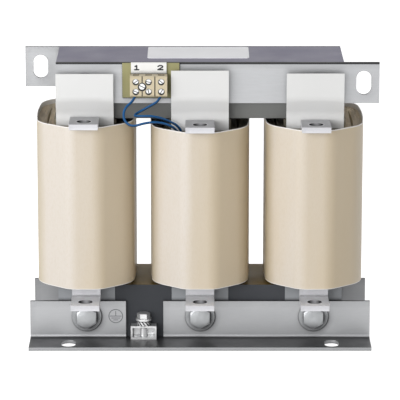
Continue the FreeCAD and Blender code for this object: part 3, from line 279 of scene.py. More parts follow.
class Finish(NodeTree):
    """A node material on object coordinates, built up layer by layer."""

    def __init__(self, name, base, roughness, metallic=0.0, **values):
        self.material = bpy.data.materials.new(name)
        self.material.use_nodes = True
        super().__init__(self.material.node_tree)
        self.shader = self.tree.nodes["Principled BSDF"]
        self.base = (*base, 1)
        self.normal = None
        self.put(self.shader, Base_Color=self.base, Roughness=roughness, Metallic=metallic, **values)
        self.place = self.node("ShaderNodeTexCoord").outputs["Object"]

    def grain(self, scale, stretch=(1, 1, 1), detail=3):
        """Noise with a number of features per metre, and a scale for each axis."""
        stretched = self.node("ShaderNodeMapping", Vector=self.place, Scale=stretch).outputs["Vector"]
        noise = self.node("ShaderNodeTexNoise", Vector=stretched, Scale=scale, Detail=detail, Roughness=0.55)
        return noise.outputs["Fac"]

    def facing(self, kind="Normal"):
        """Direction that the surface faces."""
        return self.node("ShaderNodeNewGeometry").outputs[kind]

    def blend(self, factor, other):
        """Base colour that turns to another one where a factor is high."""
        made = self.node("ShaderNodeMix", {"data_type": "RGBA"})
        first, second = made.inputs[6], made.inputs[7]
        self.join(factor, made.inputs[0])
        self.join(self.base, first)
        self.join((*other, 1), second)
        self.base = made.outputs[2]
        self.put(self.shader, Base_Color=self.base)

    def stain(self, value, low, high, share, other):
        """Up to a share of another colour, as a value rises from low to high."""
        self.blend(self.span(value, low, high, 0.0, share), other)

    def rough(self, value, low, high):
        self.put(self.shader, Roughness=self.span(value, 0.3, 0.7, low, high))

    def turn_normal(self, node):
        self.normal = node.outputs["Normal"]
        self.put(self.shader, Normal=self.normal)

    def bump(self, height, depth, strength):
        made = self.node("ShaderNodeBump", Height=height, Distance=depth, Strength=strength)
        if self.normal is not None:
            self.put(made, Normal=self.normal)
        self.turn_normal(made)

    def soft_edges(self, radius):
        """Rounds the look of the edges, which catch the light as worn edges do."""
        self.turn_normal(self.node("ShaderNodeBevel", {"samples": 4}, Radius=radius))

    def crevices(self, reach, share, lean=(0.0, 0.0, 0.0), open_share=1.0):
        """Painted shade: darkens narrow gaps and inner corners, most beside what stands on the side of a
        lean.
        """
        turned = self.node("ShaderNodeVectorMath", {"operation": "ADD"}, (self.facing(), lean))
        near = self.node("ShaderNodeAmbientOcclusion", {"samples": 8}, Distance=reach,
                         Normal=turned.outputs[0])
        self.blend(self.span(near.outputs["AO"], 0.35, open_share, share, 0.0), PAINTED_SHADE)

    def around(self, axes, centre, pitch):
        """Offset and distance from the nearest of a grid of round features, seen along one axis."""
        parts = self.node("ShaderNodeSeparateXYZ", Vector=self.place).outputs
        across, up = (self.number("WRAP", self.number("SUBTRACT", parts[axis], middle), step / 2, -step / 2)
                      for axis, middle, step in zip(axes, centre, pitch))
        squares = [self.number("POWER", self.number("ABSOLUTE", offset), 2.0) for offset in (across, up)]
        return across, self.number("SQRT", self.number("ADD", *squares))

    def tops(self, share, other=PAINTED_TOP_SHADE):
        """Gives faces that lie flat another colour in patches: painted shade where they get little light,
        painted light and reflection where they get more.
        """
        up = self.span(self.part(self.facing("True Normal"), "Z"), 0.7, 0.95, 0.0, share)
        patches = self.span(self.grain(30, detail=4), 0.2, 0.8, 0.85, 1.0)
        self.blend(self.number("MULTIPLY", up, patches), other)


# Finishes


def sheet_metal(name, base, painted_shadow_above=None):
    """Rolled and plated sheet with faint grain and clouds, painted shade in its crevices and on faces that
    lie flat, and a painted shadow line above a height.
    """
    made = Finish(name, base, 0.42, metallic=0.8)
    made.soft_edges(0.0004)
    clouds = made.grain(22, detail=4)
    grain = made.grain(1400, stretch=(0.06, 1, 1), detail=2)
    made.stain(clouds, 0.35, 0.75, 0.35, darker(base, 0.86))
    made.stain(grain, 0.3, 0.7, 0.16, darker(base, 0.7))
    made.crevices(0.006, 0.9, lean=SHADE_LEAN, open_share=0.95)
    made.crevices(0.0018, 0.95, lean=SHADE_LEAN, open_share=0.9)
    made.tops(0.9)
    if painted_shadow_above is not None:
        up = made.part(made.place, "Z")
        made.stain(up, painted_shadow_above, painted_shadow_above + 0.0003, 0.93, darker(base, 0.02))
    made.rough(clouds, 0.36, 0.52)
    made.bump(grain, 0.00003, 0.5)
    return made.material


def turned_metal(name, base, roughness=0.36, reach=0.009):
    """Plated steel of bolts, washers and screws, with painted shade in crevices and beside what stands
    towards the light.
    """
    made = Finish(name, base, roughness, metallic=0.75)
    clouds = made.grain(160, detail=4)
    made.stain(clouds, 0.4, 0.8, 0.5, darker(base, 0.72))
    for gap in (reach, reach / 4):
        made.crevices(gap, 0.95, lean=SHADE_LEAN, open_share=0.9)
    made.rough(clouds, roughness - 0.08, roughness + 0.14)
    made.bump(made.grain(900), 0.0001, 0.8)
    return made.material


def laminations(name, base, painted_top_light, shine=0.3):
    """Edges of stacked sheets: fine lines across the stack, under a thin lacquer, with painted light on the
    faces that lie flat.
    """
    made = Finish(name, base, 0.5, metallic=0.2, Specular_IOR_Level=shine)
    made.soft_edges(0.0005)
    lines = made.grain(1, stretch=(4, 2000, 4), detail=1)
    clouds = made.grain(35, detail=4)
    made.stain(lines, 0.42, 0.62, 0.5, darker(base, 0.6))
    made.stain(clouds, 0.45, 0.75, 0.2, darker(base, 0.85))
    made.tops(0.9, painted_top_light)
    made.rough(clouds, 0.42, 0.55)
    made.bump(lines, 0.00008, 0.7)
    return made.material


def wrap_paper(name, base, shade):
    """Varnished wrap with faint fibres, painted shade towards its right and a yellowish painted shade at its
    left edge.
    """
    made = Finish(name, base, 0.36, Coat_Roughness=0.34, Specular_IOR_Level=0.06)
    bands = made.grain(26, stretch=(1, 1, 0.12))
    fibres = made.grain(900, stretch=(1, 1, 0.35))
    made.stain(bands, 0.4, 0.75, 0.55, shade)
    made.stain(fibres, 0.45, 0.8, 0.22, darker(shade, 0.85))
    # Painted shade on the faces turned to the right, and at the left edge
    across = made.part(made.facing(), "X")
    made.stain(across, -0.35, 0.5, 0.75, shade)
    made.blend(made.span(across, -1.0, -0.75, 0.45, 0.0), WRAP_EDGE_SHADE)
    aside = made.node("ShaderNodeLayerWeight", Blend=0.5).outputs["Facing"]
    made.put(made.shader, Coat_Weight=made.span(aside, 0.5, 0.9, 0.9, 0.0))
    rim = made.node("ShaderNodeAttribute", {"attribute_name": "rim"}).outputs["Fac"]
    made.blend(rim, lighter(base, 0.6))
    made.rough(bands, 0.3, 0.42)
    made.bump(bands, 0.0005, 0.35)
    made.bump(fibres, 0.00003, 0.35)
    return made.material


def edge_paper(name, base, yoke_shadow_share):
    """Cut edges of paper and film in streaks, with a painted shadow by a share where the yoke covers them."""
    made = Finish(name, base, 0.7)
    fibres = made.grain(420, detail=4)
    streaks = made.grain(380, stretch=(1, 0.08, 0.05), detail=2)
    made.stain(fibres, 0.35, 0.7, 0.5, darker(base, 0.6))
    made.stain(streaks, 0.42, 0.62, 0.5, darker(base, 0.5))
    aside = made.number("ABSOLUTE", made.part(made.place, "X"))
    yoke_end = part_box("upper_yoke")[1].x
    made.blend(made.span(aside, yoke_end - 0.008, yoke_end + 0.002, yoke_shadow_share, 0.0), darker(base, 0.04))
    made.bump(fibres, 0.00008, 0.6)
    return made.material


def moulded(name, base, roughness=0.45, depth=0.00002):
    """Moulded plastic with a fine grain, a slight unevenness of colour and painted shade in its grooves and
    corners.
    """
    made = Finish(name, base, roughness)
    made.soft_edges(0.00025)
    clouds = made.grain(90)
    made.stain(clouds, 0.4, 0.75, 0.3, darker(base, 0.86))
    made.crevices(0.005, 0.95, open_share=0.9)
    made.rough(clouds, roughness - 0.05, roughness + 0.08)
    made.bump(made.grain(1500, detail=2), depth, 0.5)
    return made.material


def sheet_plastic(name, base, roughness=0.38, ledge_shade=0.0):
    """Stiff insulating sheet: satin, with a faint ripple, painted shade near what stands towards the light,
    and a painted shade line where it meets a ledge.
    """
    made = Finish(name, base, roughness)
    made.soft_edges(0.0003)
    ripple = made.grain(18, stretch=(1, 1, 0.5), detail=2)
    fibres = made.grain(700)
    made.stain(ripple, 0.4, 0.7, 0.12, darker(base, 0.9))
    made.crevices(0.022, 0.12, lean=SHADE_LEAN)
    if ledge_shade:
        made.crevices(0.003, ledge_shade)
    made.rough(fibres, roughness - 0.04, roughness + 0.08)
    made.bump(ripple, 0.0004, 0.25)
    made.bump(fibres, 0.00002, 0.3)
    return made.material


def bare_plate(name, base):
    """Plain satin plate film with a faint grain."""
    made = Finish(name, base, 0.35, Coat_Weight=0.3, Coat_Roughness=0.15)
    made.soft_edges(0.0002)
    clouds = made.grain(45)
    made.stain(clouds, 0.4, 0.75, 0.25, darker(base, 0.9))
    made.rough(clouds, 0.3, 0.42)
    made.bump(made.grain(1200, detail=2), 0.00001, 0.4)
    return made.material


def dress(material, *nodes):
    """Gives nodes of the frame their finish."""
    for node in nodes:
        slots = NODES[node].data.materials
        slots.clear()
        slots.append(material)


# Meshes


def new_piece(name, mesh, materials=()):
    piece = bpy.data.objects.new(name, mesh)
    bpy.context.scene.collection.objects.link(piece)
    for material in materials:
        mesh.materials.append(material)
    return piece


def smooth(mesh, angle=35):
    mesh.shade_smooth()
    mesh.set_sharp_from_angle(angle=math.radians(angle))


def plain_mesh(name, shape):
    """Mesh of a bmesh, which is then freed."""
    mesh = bpy.data.meshes.new(name)
    shape.to_mesh(mesh)
    shape.free()
    return mesh


def add_face(shape, points):
    shape.faces.new([shape.verts.new(point) for point in points])


def ring_mesh(name, rings, closed=True):
    """Surface through rings of points that match, joined up or capped at both ends."""
    shape = bmesh.new()
    rows = [[shape.verts.new(point) for point in ring] for ring in rings]
    pairs = list(zip(rows, rows[1:]))
    if closed:
        pairs.append((rows[-1], rows[0]))
    for here, after in pairs:
        for corner in range(len(here)):
            beside = (corner + 1) % len(here)
            shape.faces.new((here[corner], here[beside], after[beside], after[corner]))
    if not closed:
        shape.faces.new(rows[0])
        shape.faces.new(rows[-1])
    bmesh.ops.recalc_face_normals(shape, faces=shape.faces)
    return plain_mesh(name, shape)


def coil_outline(half, depth, settings, inset=0.0, steps=9):
    """Outline of a coil in plan, counter-clockwise, moved inwards by an inset."""
    side, radius, flat = settings.side_half, settings.shoulder_radius, settings.front_half
    reach = Vector((flat - (half - radius), depth - side))
    turn = math.atan2(reach.y, reach.x) - math.acos(radius / reach.length)
    corner = math.pi / 2 - turn
    quarter = []
    for index in range(steps + 1):
        angle = turn * index / steps
        quarter.append(Vector((half - radius + (radius - inset) * math.cos(angle),
                               side + (radius - inset) * math.sin(angle))))
    crease = settings.soft_crease / math.tan(corner / 2)
    centre = Vector((flat - settings.soft_crease, depth - crease))
    for index in range(steps + 1):
        angle = turn + corner * index / steps
        quarter.append(centre + (crease - inset) * Vector((math.cos(angle), math.sin(angle))))
    mirrored = [Vector((-point.x, point.y)) for point in reversed(quarter)]
    upper = quarter + mirrored
    right = [Vector((half - inset + settings.side_bulge * (1 - step * step), side * step))
             for step in SIDE_STEPS]
    return upper + [-point for point in right] + [-point for point in upper] + right


def turns_tree():
    """Bands that follow an outline, each a pitch further in than the last."""
    tree = GeometryTree("foil_turns")
    turns, start, pitch, thickness, height, play, seed, material = tree.named_inputs(
        Turns="Int", Start="Float", Pitch="Float", Thickness="Float", Height="Float", Play="Float",
        Seed="Int", Material="Material")
    curve = tree.node("GeometryNodeMeshToCurve", Mesh=tree.start.outputs["Geometry"])
    copies = tree.node("GeometryNodeDuplicateElements", {"domain": "SPLINE"},
                       Geometry=curve.outputs["Curve"], Amount=turns)
    index = copies.outputs["Duplicate Index"]
    inward = tree.node("GeometryNodeInputNamedAttribute", {"data_type": "FLOAT_VECTOR"}, Name="inward")
    depth = tree.number("ADD", start, tree.number("MULTIPLY", index, pitch))
    shift = tree.node("ShaderNodeVectorMath", {"operation": "SCALE"}, Vector=inward.outputs["Attribute"],
                      Scale=depth)
    uneven = tree.node("FunctionNodeRandomValue", {"data_type": "FLOAT"}, ID=index, Seed=seed)
    least, most = uneven.inputs[2], uneven.inputs[3]
    tree.join(tree.number("MULTIPLY", play, -1.0), least)
    tree.join(play, most)
    rise = tree.node("ShaderNodeCombineXYZ", Z=uneven.outputs[1])
    offset = tree.node("ShaderNodeVectorMath", {"operation": "ADD"},
                       (shift.outputs["Vector"], rise.outputs["Vector"]))
    moved = tree.node("GeometryNodeSetPosition", Geometry=copies.outputs["Geometry"],
                      Offset=offset.outputs["Vector"])
    upright = tree.node("GeometryNodeSetCurveNormal", Curve=moved.outputs["Geometry"])
    profile = tree.node("GeometryNodeCurvePrimitiveQuadrilateral", Width=thickness, Height=height)
    bands = tree.node("GeometryNodeCurveToMesh", Curve=upright.outputs["Curve"],
                      Profile_Curve=profile.outputs["Curve"])
    tree.finish(bands.outputs["Mesh"], material)
    return tree.tree


def places_tree():
    """One fastener at each place."""
    tree = GeometryTree("fasteners_at_places")
    fastener, material = tree.named_inputs(Fastener="Object", Material="Material")
    shape = tree.node("GeometryNodeObjectInfo", Object=fastener)
    copies = tree.node("GeometryNodeInstanceOnPoints", Points=tree.start.outputs["Geometry"],
                       Instance=shape.outputs["Geometry"])
    tree.finish(copies.outputs["Instances"], material)
    return tree.tree


def grown(name, source, group, angle=35, **values):
    """Plain mesh piece that a tree makes from a source object, which is then removed."""
    modifier = source.modifiers.new(name, "NODES")
    modifier.node_group = group
    sockets = {item.name: item.identifier for item in group.interface.items_tree if item.in_out == "INPUT"}
    for key, value in values.items():
        modifier[sockets[key]] = value
    evaluated = source.evaluated_get(bpy.context.evaluated_depsgraph_get())
    mesh = bpy.data.meshes.new_from_object(evaluated)
    mesh.name = name
    smooth(mesh, angle)
    bpy.data.objects.remove(source)
    return new_piece(name, mesh)


# Pieces


class REACTOR_OT_leads(bpy.types.Operator):
    """Lay the two leads between the terminal block and the switch"""

    bl_idname = "reactor.leads"
    bl_label = "Leads"

    # Length in metres, and the route in millimetres
    ROUTES = {
        "thermal_lead_1": (0.0916, (
            (-55.4, -47.3, 224.4), (-57.0, -47.8, 218.3), (-65.9, -52.0, 211.7), (-66.2, -57.0, 202.4),
            (-59.1, -60.0, 197.0), (-46.8, -59.5, 200.9), (-34.5, -58.5, 201.2), (-24.5, -56.5, 197.2),
            (-20.8, -52.6, 193.2), (-18.2, -48.4, 188.6), (-18.2, -48.4, 182.0))),
        "thermal_lead_2": (0.0973, (
            (-33.4, -47.3, 224.35), (-34.9, -47.2, 218.0), (-43.0, -46.4, 213.0), (-51.2, -45.2, 208.2),
            (-56.2, -49.6, 206.2), (-56.2, -56.6, 206.0), (-50.6, -61.4, 206.9), (-43.3, -61.6, 207.2),
            (-34.5, -59.0, 205.2), (-27.5, -53.5, 201.2), (-19.6, -49.6, 196.6), (-15.2, -47.0, 189.0),
            (-15.2, -47.0, 182.0))),
    }

    def execute(self, context):
        plastic = context.scene.reactor_plastic
        material = self.insulation(plastic.lead_colour)
        for node, (length, route) in self.ROUTES.items():
            curve = bpy.data.curves.new(node.replace("thermal", "switch"), "CURVE")
            curve.dimensions = "3D"
            curve.bevel_depth = plastic.lead_diameter / 2
            curve.bevel_resolution = 5
            curve.resolution_u = 8
            curve.use_fill_caps = True
            spline = curve.splines.new("NURBS")
            spline.points.add(len(route) - 1)
            for point, place in zip(spline.points, route):
                point.co = (*(value * MM for value in place), 1)
            spline.order_u = 3
            spline.use_endpoint_u = True
            piece = new_piece(curve.name, curve, [material])
            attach(piece, "root")
            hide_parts(node)
        return {"FINISHED"}

    def insulation(self, base):
        """Satin plastic with faint clouds and painted shade underneath."""
        made = Finish("lead_insulation", base, 0.5, Specular_IOR_Level=0.25)
        made.stain(made.grain(260), 0.4, 0.75, 0.4, darker(base, 0.7))
        # Painted shade on the underside
        up = made.part(made.facing(), "Z")
        made.blend(made.span(up, -0.6, 0.6, 0.9, 0.0), darker(base, 0.15))
        made.bump(made.grain(1800, detail=2), 0.00002, 0.5)
        return made.material


class REACTOR_OT_core(bpy.types.Operator):
    """Finish the yokes, the limb packets and what insulates them"""

    bl_idname = "reactor.core"
    bl_label = "Core"

    def execute(self, context):
        metal = context.scene.reactor_metal
        steel = laminations("core_laminations", metal.core_colour, metal.core_top_light_colour)
        # Shaded copy of the laminations for the lower yoke, as painted shade
        shaded_lower_steel = laminations("lower_laminations", metal.shaded_lower_core_colour, metal.lower_top_reflection_colour,
                                  shine=0.1)
        board = edge_paper("pressboard", PRESSBOARD, yoke_shadow_share=0.7)
        laminate = moulded("gap_laminate", GAP_LAMINATE)
        dress(steel, "upper_yoke")
        dress(shaded_lower_steel, "lower_yoke")
        dress(moulded("sleeve_plastic", SLEEVE_PLASTIC), "bolt_sleeves")
        for phase in PHASES:
            dress(steel, phase + "_limb_packets")
            dress(laminate, phase + "_gap_spacers")
            dress(board, phase + "_limb_tube", phase + "_duct_spacers")
        return {"FINISHED"}


class REACTOR_OT_windings(bpy.types.Operator):
    """Wind the foil and paper turns of the coils"""

    bl_idname = "reactor.windings"
    bl_label = "Windings"

    def execute(self, context):
        coil = context.scene.reactor_coil
        foil = edge_paper("foil_edges", coil.foil_colour, yoke_shadow_share=0.85)
        paper = edge_paper("paper_edges", coil.paper_colour, yoke_shadow_share=0.6)
        tree = turns_tree()
        for phase, across in PHASES.items():
            low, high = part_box(phase + "_outer_wrap")
            half, depth = (high.x - low.x) / 2, high.y
            skins = [coil_outline(half, depth, coil, inset=inset) for inset in (0.0, MM)]
            self.wind(phase, "outer", across, skins, coil.winding_start, coil.outer_build, tree, foil, paper)
            low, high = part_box(phase + "_limb_packets")
            half, depth = (high.x - low.x) / 2, (high.y - low.y) / 2
            skins = [self.rounded_box(half, depth, coil.inner_skin - inset) for inset in (0.0, MM)]
            self.wind(phase, "inner", across, skins, 0.0, coil.inner_build, tree, foil, paper)
        return {"FINISHED"}

    def rounded_box(self, half, depth, reach, steps=5):
        """Outline at a distance from the limb, round at its corners."""
        points = []
        for start, (right, back) in enumerate(((1, 1), (-1, 1), (-1, -1), (1, -1))):
            for index in range(steps + 1):
                angle = math.pi / 2 * (start + index / steps)
                points.append(Vector((right * half + reach * math.cos(angle),
                                      back * depth + reach * math.sin(angle))))
        return points

    def wind(self, phase, side, across, skins, start, build, tree, foil, paper):
        """Paper and foil turns of one winding, between the rims of its node."""
        coil = bpy.context.scene.reactor_coil
        node = "%s_%s_winding" % (phase, side)
        low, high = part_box(node)
        middle, height = (low.z + high.z) / 2, high.z - low.z
        turns = round(build / coil.turn_pitch)
        pitch = (build - coil.paper_thickness) / turns
        kinds = (("paper", turns + 1, coil.paper_thickness / 2, coil.paper_thickness, coil.edge_play, paper),
                 ("foil", turns, coil.turn_pitch / 2, coil.foil_thickness, coil.foil_recess, foil))
        for kind, count, first, thickness, recess, material in kinds:
            name = "%s_%s_%s" % (phase, side, kind)
            piece = grown(name, self.outline(name, across, middle, skins), tree, Turns=count,
                          Start=start + first, Pitch=pitch, Thickness=thickness, Height=height - 2 * recess,
                          Play=coil.edge_play, Seed=coil.seed, Material=material)
            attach(piece, "root")
        # The foil comes last, and stands for the node
        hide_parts(node)

    def outline(self, name, across, middle, skins):
        """Closed line of edges round the winding, with the way inwards at each point."""
        mesh = bpy.data.meshes.new("outline")
        points = [(across + point.x, point.y, middle) for point in skins[0]]
        edges = [(index, (index + 1) % len(points)) for index in range(len(points))]
        mesh.from_pydata(points, edges, [])
        inward = mesh.attributes.new("inward", "FLOAT_VECTOR", "POINT")
        for index, (outer, inner) in enumerate(zip(*skins)):
            step = (inner - outer) / MM
            inward.data[index].vector = (step.x, step.y, 0)
        return new_piece(name + "_outline", mesh)


class REACTOR_OT_wraps(bpy.types.Operator):
    """Lay the cream wrap round each coil"""

    bl_idname = "reactor.wraps"
    bl_label = "Wraps"

    # Rings up the wrap, and the softness of its rims as a share of its wall
    LEVELS, SOFT_SHARE = 18, 0.35
    # Share of the way round where the free edge lies, and how soon its step dies away
    EDGE_PLACE, EDGE_TAPER = 0.3, 5

    def execute(self, context):
        coil = context.scene.reactor_coil
        paper = wrap_paper("cream_wrap", coil.wrap_colour, coil.wrap_shade)
        for number, phase in enumerate(PHASES):
            piece = self.lay(phase, number, coil)
            piece.data.materials.append(paper)
            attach(piece, "root")
            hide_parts(phase + "_outer_wrap")
        return {"FINISHED"}

    def lay(self, phase, number, coil):
        """Thin shell with soft rims, a slight wave and the step of its free edge."""
        low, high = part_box(phase + "_outer_wrap")
        half, depth, middle = (high.x - low.x) / 2, high.y, (low.x + high.x) / 2
        wall = coil.wrap_wall
        soft = wall * self.SOFT_SHARE
        outside = [(soft, low.z), (0.0, low.z + soft), (0.0, low.z + 3 * soft)]
        for index in range(1, self.LEVELS):
            outside.append((0.0, low.z + (high.z - low.z) * index / self.LEVELS))
        outside += [(0.0, high.z - 3 * soft), (0.0, high.z - soft), (soft, high.z)]
        inside = [(wall - soft, high.z), (wall, high.z - soft), (wall, low.z + soft), (wall - soft, low.z)]
        rings = []
        for inset, up in outside + inside:
            ring = coil_outline(half, depth, coil, inset=inset, steps=14)
            points = []
            for index, point in enumerate(ring):
                give = self.wave(index / len(ring), up, number, coil) if inset <= soft else 0.0
                inward = -point.normalized() * give
                points.append((middle + point.x + inward.x, point.y + inward.y, up))
            rings.append(points)
        mesh = ring_mesh(phase + "_coil_wrap", rings)
        smooth(mesh, angle=40)
        rim = mesh.attributes.new("rim", "FLOAT", "POINT")
        for index, vertex in enumerate(mesh.vertices):
            edge = min(vertex.co.z - low.z, high.z - vertex.co.z)
            rim.data[index].value = 1.0 if edge < 2 * soft else 0.0
        return new_piece(phase + "_coil_wrap", mesh)

    def wave(self, share, up, number, coil):
        """How far the skin lies inside its outline at a share of the way round."""
        turn = 2 * math.pi * share
        # Three long waves round each coil, and seven shorter ones that shift with the height
        slow = math.sin(3 * turn + 1.7 * number) + 0.6 * math.sin(7 * turn + 23 * up + number)
        past_edge = (share - self.EDGE_PLACE) % 1
        flap = coil.flap_step * max(0.0, 1 - self.EDGE_TAPER * past_edge)
        return coil.wrap_wave * (0.5 + 0.3 * slow) + flap


class REACTOR_OT_brackets(bpy.types.Operator):
    """Finish the clamping brackets and stamp the earth symbol"""

    bl_idname = "reactor.brackets"
    bl_label = "Brackets"

    # Height of the painted shadow line along the top of the front bracket
    PAINTED_SHADOW_LINE = 0.0018
    # From the front of the foot to the bracket's face, and from there to the symbol
    FOOT_DEPTH, PRINT_PROUD = 0.033, 0.00004
    SYMBOL_ACROSS, SYMBOL_UP = -0.0745, 0.0224
    RING_INNER, RING_OUTER, RING_STEPS = 0.0057, 0.0064, 48
    # Left, right, low and high of the stem and of the three bars under it
    BARS = ((-0.0003, 0.0003, 0, 0.0046), (-0.0052, 0.0052, -0.0003, 0.0003),
            (-0.0038, 0.0038, -0.0021, -0.0015), (-0.0022, 0.0022, -0.0038, -0.0032))

    def execute(self, context):
        base = context.scene.reactor_metal.sheet_colour
        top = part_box("front_upper_bracket")[1].z
        dress(sheet_metal("zinc_sheet", base), "back_upper_bracket", "front_lower_bracket")
        dress(sheet_metal("top_zinc_sheet", base, painted_shadow_above=top - self.PAINTED_SHADOW_LINE), "front_upper_bracket")
        # Painted shade: the back lower bracket is the same sheet, darker in the coils' shade
        dress(sheet_metal("dull_zinc_sheet", darker(base, 0.75)), "back_lower_bracket")
        self.stamp_earth()
        return {"FINISHED"}

    def stamp_earth(self):
        """Ring, stem and three bars, pressed faintly into the bracket's face."""
        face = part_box("front_lower_bracket")[0].y + self.FOOT_DEPTH
        centre = Vector((self.SYMBOL_ACROSS, face - self.PRINT_PROUD, self.SYMBOL_UP))
        shape = bmesh.new()
        for index in range(self.RING_STEPS):
            first, second = (2 * math.pi * step / self.RING_STEPS for step in (index, index + 1))
            corners = ((self.RING_OUTER, first), (self.RING_OUTER, second),
                       (self.RING_INNER, second), (self.RING_INNER, first))
            add_face(shape, [centre + Vector((radius * math.cos(angle), 0, radius * math.sin(angle)))
                             for radius, angle in corners])
        for left, right, low, high in self.BARS:
            corners = ((left, low), (right, low), (right, high), (left, high))
            add_face(shape, [centre + Vector((across, 0, up)) for across, up in corners])
        bmesh.ops.remove_doubles(shape, verts=shape.verts, dist=1e-7)
        for part in shape.faces:
            part.normal_update()
            if part.normal.y > 0:
                part.normal_flip()
        made = Finish("stamped_lines", STAMPED, 0.5, metallic=0.4)
        made.stain(made.grain(900), 0.35, 0.7, 0.5, STAMPED_BRIGHT)
        piece = new_piece("earth_symbol", plain_mesh("earth_symbol", shape), [made.material])
        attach(piece, "root")


class REACTOR_OT_clamping(bpy.types.Operator):
    """Place the clamping bolts, nuts and washers"""

    bl_idname = "reactor.clamping"
    bl_label = "Clamping bolts"

    ANGLES = [2 * math.pi * index / 48 for index in range(48)]
    # Radius of the small caps that close the ends of a bolt
    POLE_RADIUS = 0.0001
    THREAD_LENGTH = 0.02
    # Shares of the shank's radius, and of the pitch
    THREAD_ROOT, THREAD_END = 0.87, 0.84
    THREAD_CREST = (0.4, 0.6)
    SEAT_HEIGHT = 0.0004
    # Shares of the width across flats: where the chamfers of head and nut start, and their seat
    HEAD_CROWN, NUT_CROWN, SEAT = 0.46, 0.48, 0.47
    # Way outwards for each unit that the chamfers of head and nut fall
    HEAD_SLOPE, NUT_SLOPE = 2.4, 1.7
    NUT_BORE_PLAY, NUT_COUNTERSINK = 0.00005, 0.0006
    WASHER_EDGE = 0.00025

    def execute(self, context):
        metal = context.scene.reactor_metal
        steel = turned_metal("plated_bolts", metal.bolt_colour)
        tree = places_tree()
        low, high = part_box("clamp_bolts")
        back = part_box("clamp_nuts")[0].y
        upper_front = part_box("front_upper_bracket")[0].y - metal.washer_height
        lower_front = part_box("clamp_washers")[0].y
        head_radius = metal.head_flats / math.sqrt(3)
        rows = ((low.z + head_radius, lower_front), (high.z - head_radius, upper_front))
        fronts = [(across, front, up) for up, front in rows for across in PHASES.values()]
        backs = [(across, back, up) for across, front, up in fronts]
        seats = fronts + [(across, back - metal.washer_height, up) for across, back, up in backs]
        for name, (up, front) in zip(("lower_hexagon_bolts", "upper_hexagon_bolts"), rows):
            spots = [(across, front, up) for across in PHASES.values()]
            self.put(name, self.bolt(metal, high.y - front), spots, tree, steel, "clamp_bolts")
        self.put("hexagon_nuts", self.nut(metal), backs, tree, steel, "clamp_nuts")
        self.put("round_washers", self.washer(metal), seats, tree, steel, "clamp_washers")
        return {"FINISHED"}

    def put(self, name, template, places, tree, material, node):
        mesh = bpy.data.meshes.new("places")
        mesh.from_pydata(places, [], [])
        piece = grown(name, new_piece(name + "_places", mesh), tree, angle=30, Fastener=template,
                      Material=material)
        bpy.data.objects.remove(template)
        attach(piece, "root")
        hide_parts(node)

    def circle(self, radius, depth):
        return [(radius * math.cos(angle), depth, radius * math.sin(angle)) for angle in self.ANGLES]

    def hexagon(self, metal, depth, fall=None):
        """Points round a hexagon with a corner down, falling back by a rule of the radius."""
        ring = []
        for angle in self.ANGLES:
            folded = (angle + math.pi / 2) % (math.pi / 3) - math.pi / 6
            radius = metal.head_flats / 2 / math.cos(folded)
            back = fall(radius) if fall else 0.0
            ring.append((radius * math.cos(angle), depth + back, radius * math.sin(angle)))
        return ring

    def thread(self, metal, start, end):
        """Rings of a screw thread between two depths."""
        rings = []
        pitch, radius = metal.thread_pitch, metal.shank_radius
        for index in range(max(1, int((end - start) / pitch))):
            here = start + index * pitch
            rings.append(self.circle(radius * self.THREAD_ROOT, here))
            rings += [self.circle(radius, here + pitch * share) for share in self.THREAD_CREST]
        rings.append(self.circle(radius * self.THREAD_END, end))
        return rings

    def bolt(self, metal, reach):
        """Hexagon bolt whose bearing face is at its origin and whose shank points back."""
        crown, top = metal.head_flats * self.HEAD_CROWN, -metal.head_height
        rings = [
            self.circle(self.POLE_RADIUS, top), self.circle(crown, top),
            self.hexagon(metal, top, lambda radius: (radius - crown) / self.HEAD_SLOPE),
            self.hexagon(metal, -self.SEAT_HEIGHT), self.circle(metal.head_flats * self.SEAT, 0.0),
            self.circle(metal.shank_radius, 0.0), self.circle(metal.shank_radius, reach - self.THREAD_LENGTH)]
        rings += self.thread(metal, reach - self.THREAD_LENGTH, reach)
        rings.append(self.circle(self.POLE_RADIUS, reach))
        return new_piece("bolt_template", ring_mesh("bolt_template", rings, closed=False))

    def nut(self, metal):
        """Hexagon nut whose bearing face is at its origin."""
        crown, top = metal.head_flats * self.NUT_CROWN, metal.nut_height
        bore, sink = metal.shank_radius + self.NUT_BORE_PLAY, self.NUT_COUNTERSINK
        rings = [
            self.circle(bore, 0.0), self.circle(metal.head_flats * self.SEAT, 0.0),
            self.hexagon(metal, self.SEAT_HEIGHT),
            self.hexagon(metal, top, lambda radius: (crown - radius) / self.NUT_SLOPE),
            self.circle(crown, top), self.circle(bore + sink, top), self.circle(bore, top - sink)]
        return new_piece("nut_template", ring_mesh("nut_template", rings))

    def washer(self, metal):
        """Flat washer with soft edges, its front face at its origin."""
        outer, bore, high = metal.washer_radius, metal.washer_bore, metal.washer_height
        soft = self.WASHER_EDGE
        profile = ((bore + soft, 0.0), (outer - soft, 0.0), (outer, soft), (outer, high - soft),
                   (outer - soft, high), (bore + soft, high), (bore, high - soft), (bore, soft))
        rings = [self.circle(radius, depth) for radius, depth in profile]
        return new_piece("washer_template", ring_mesh("washer_template", rings))


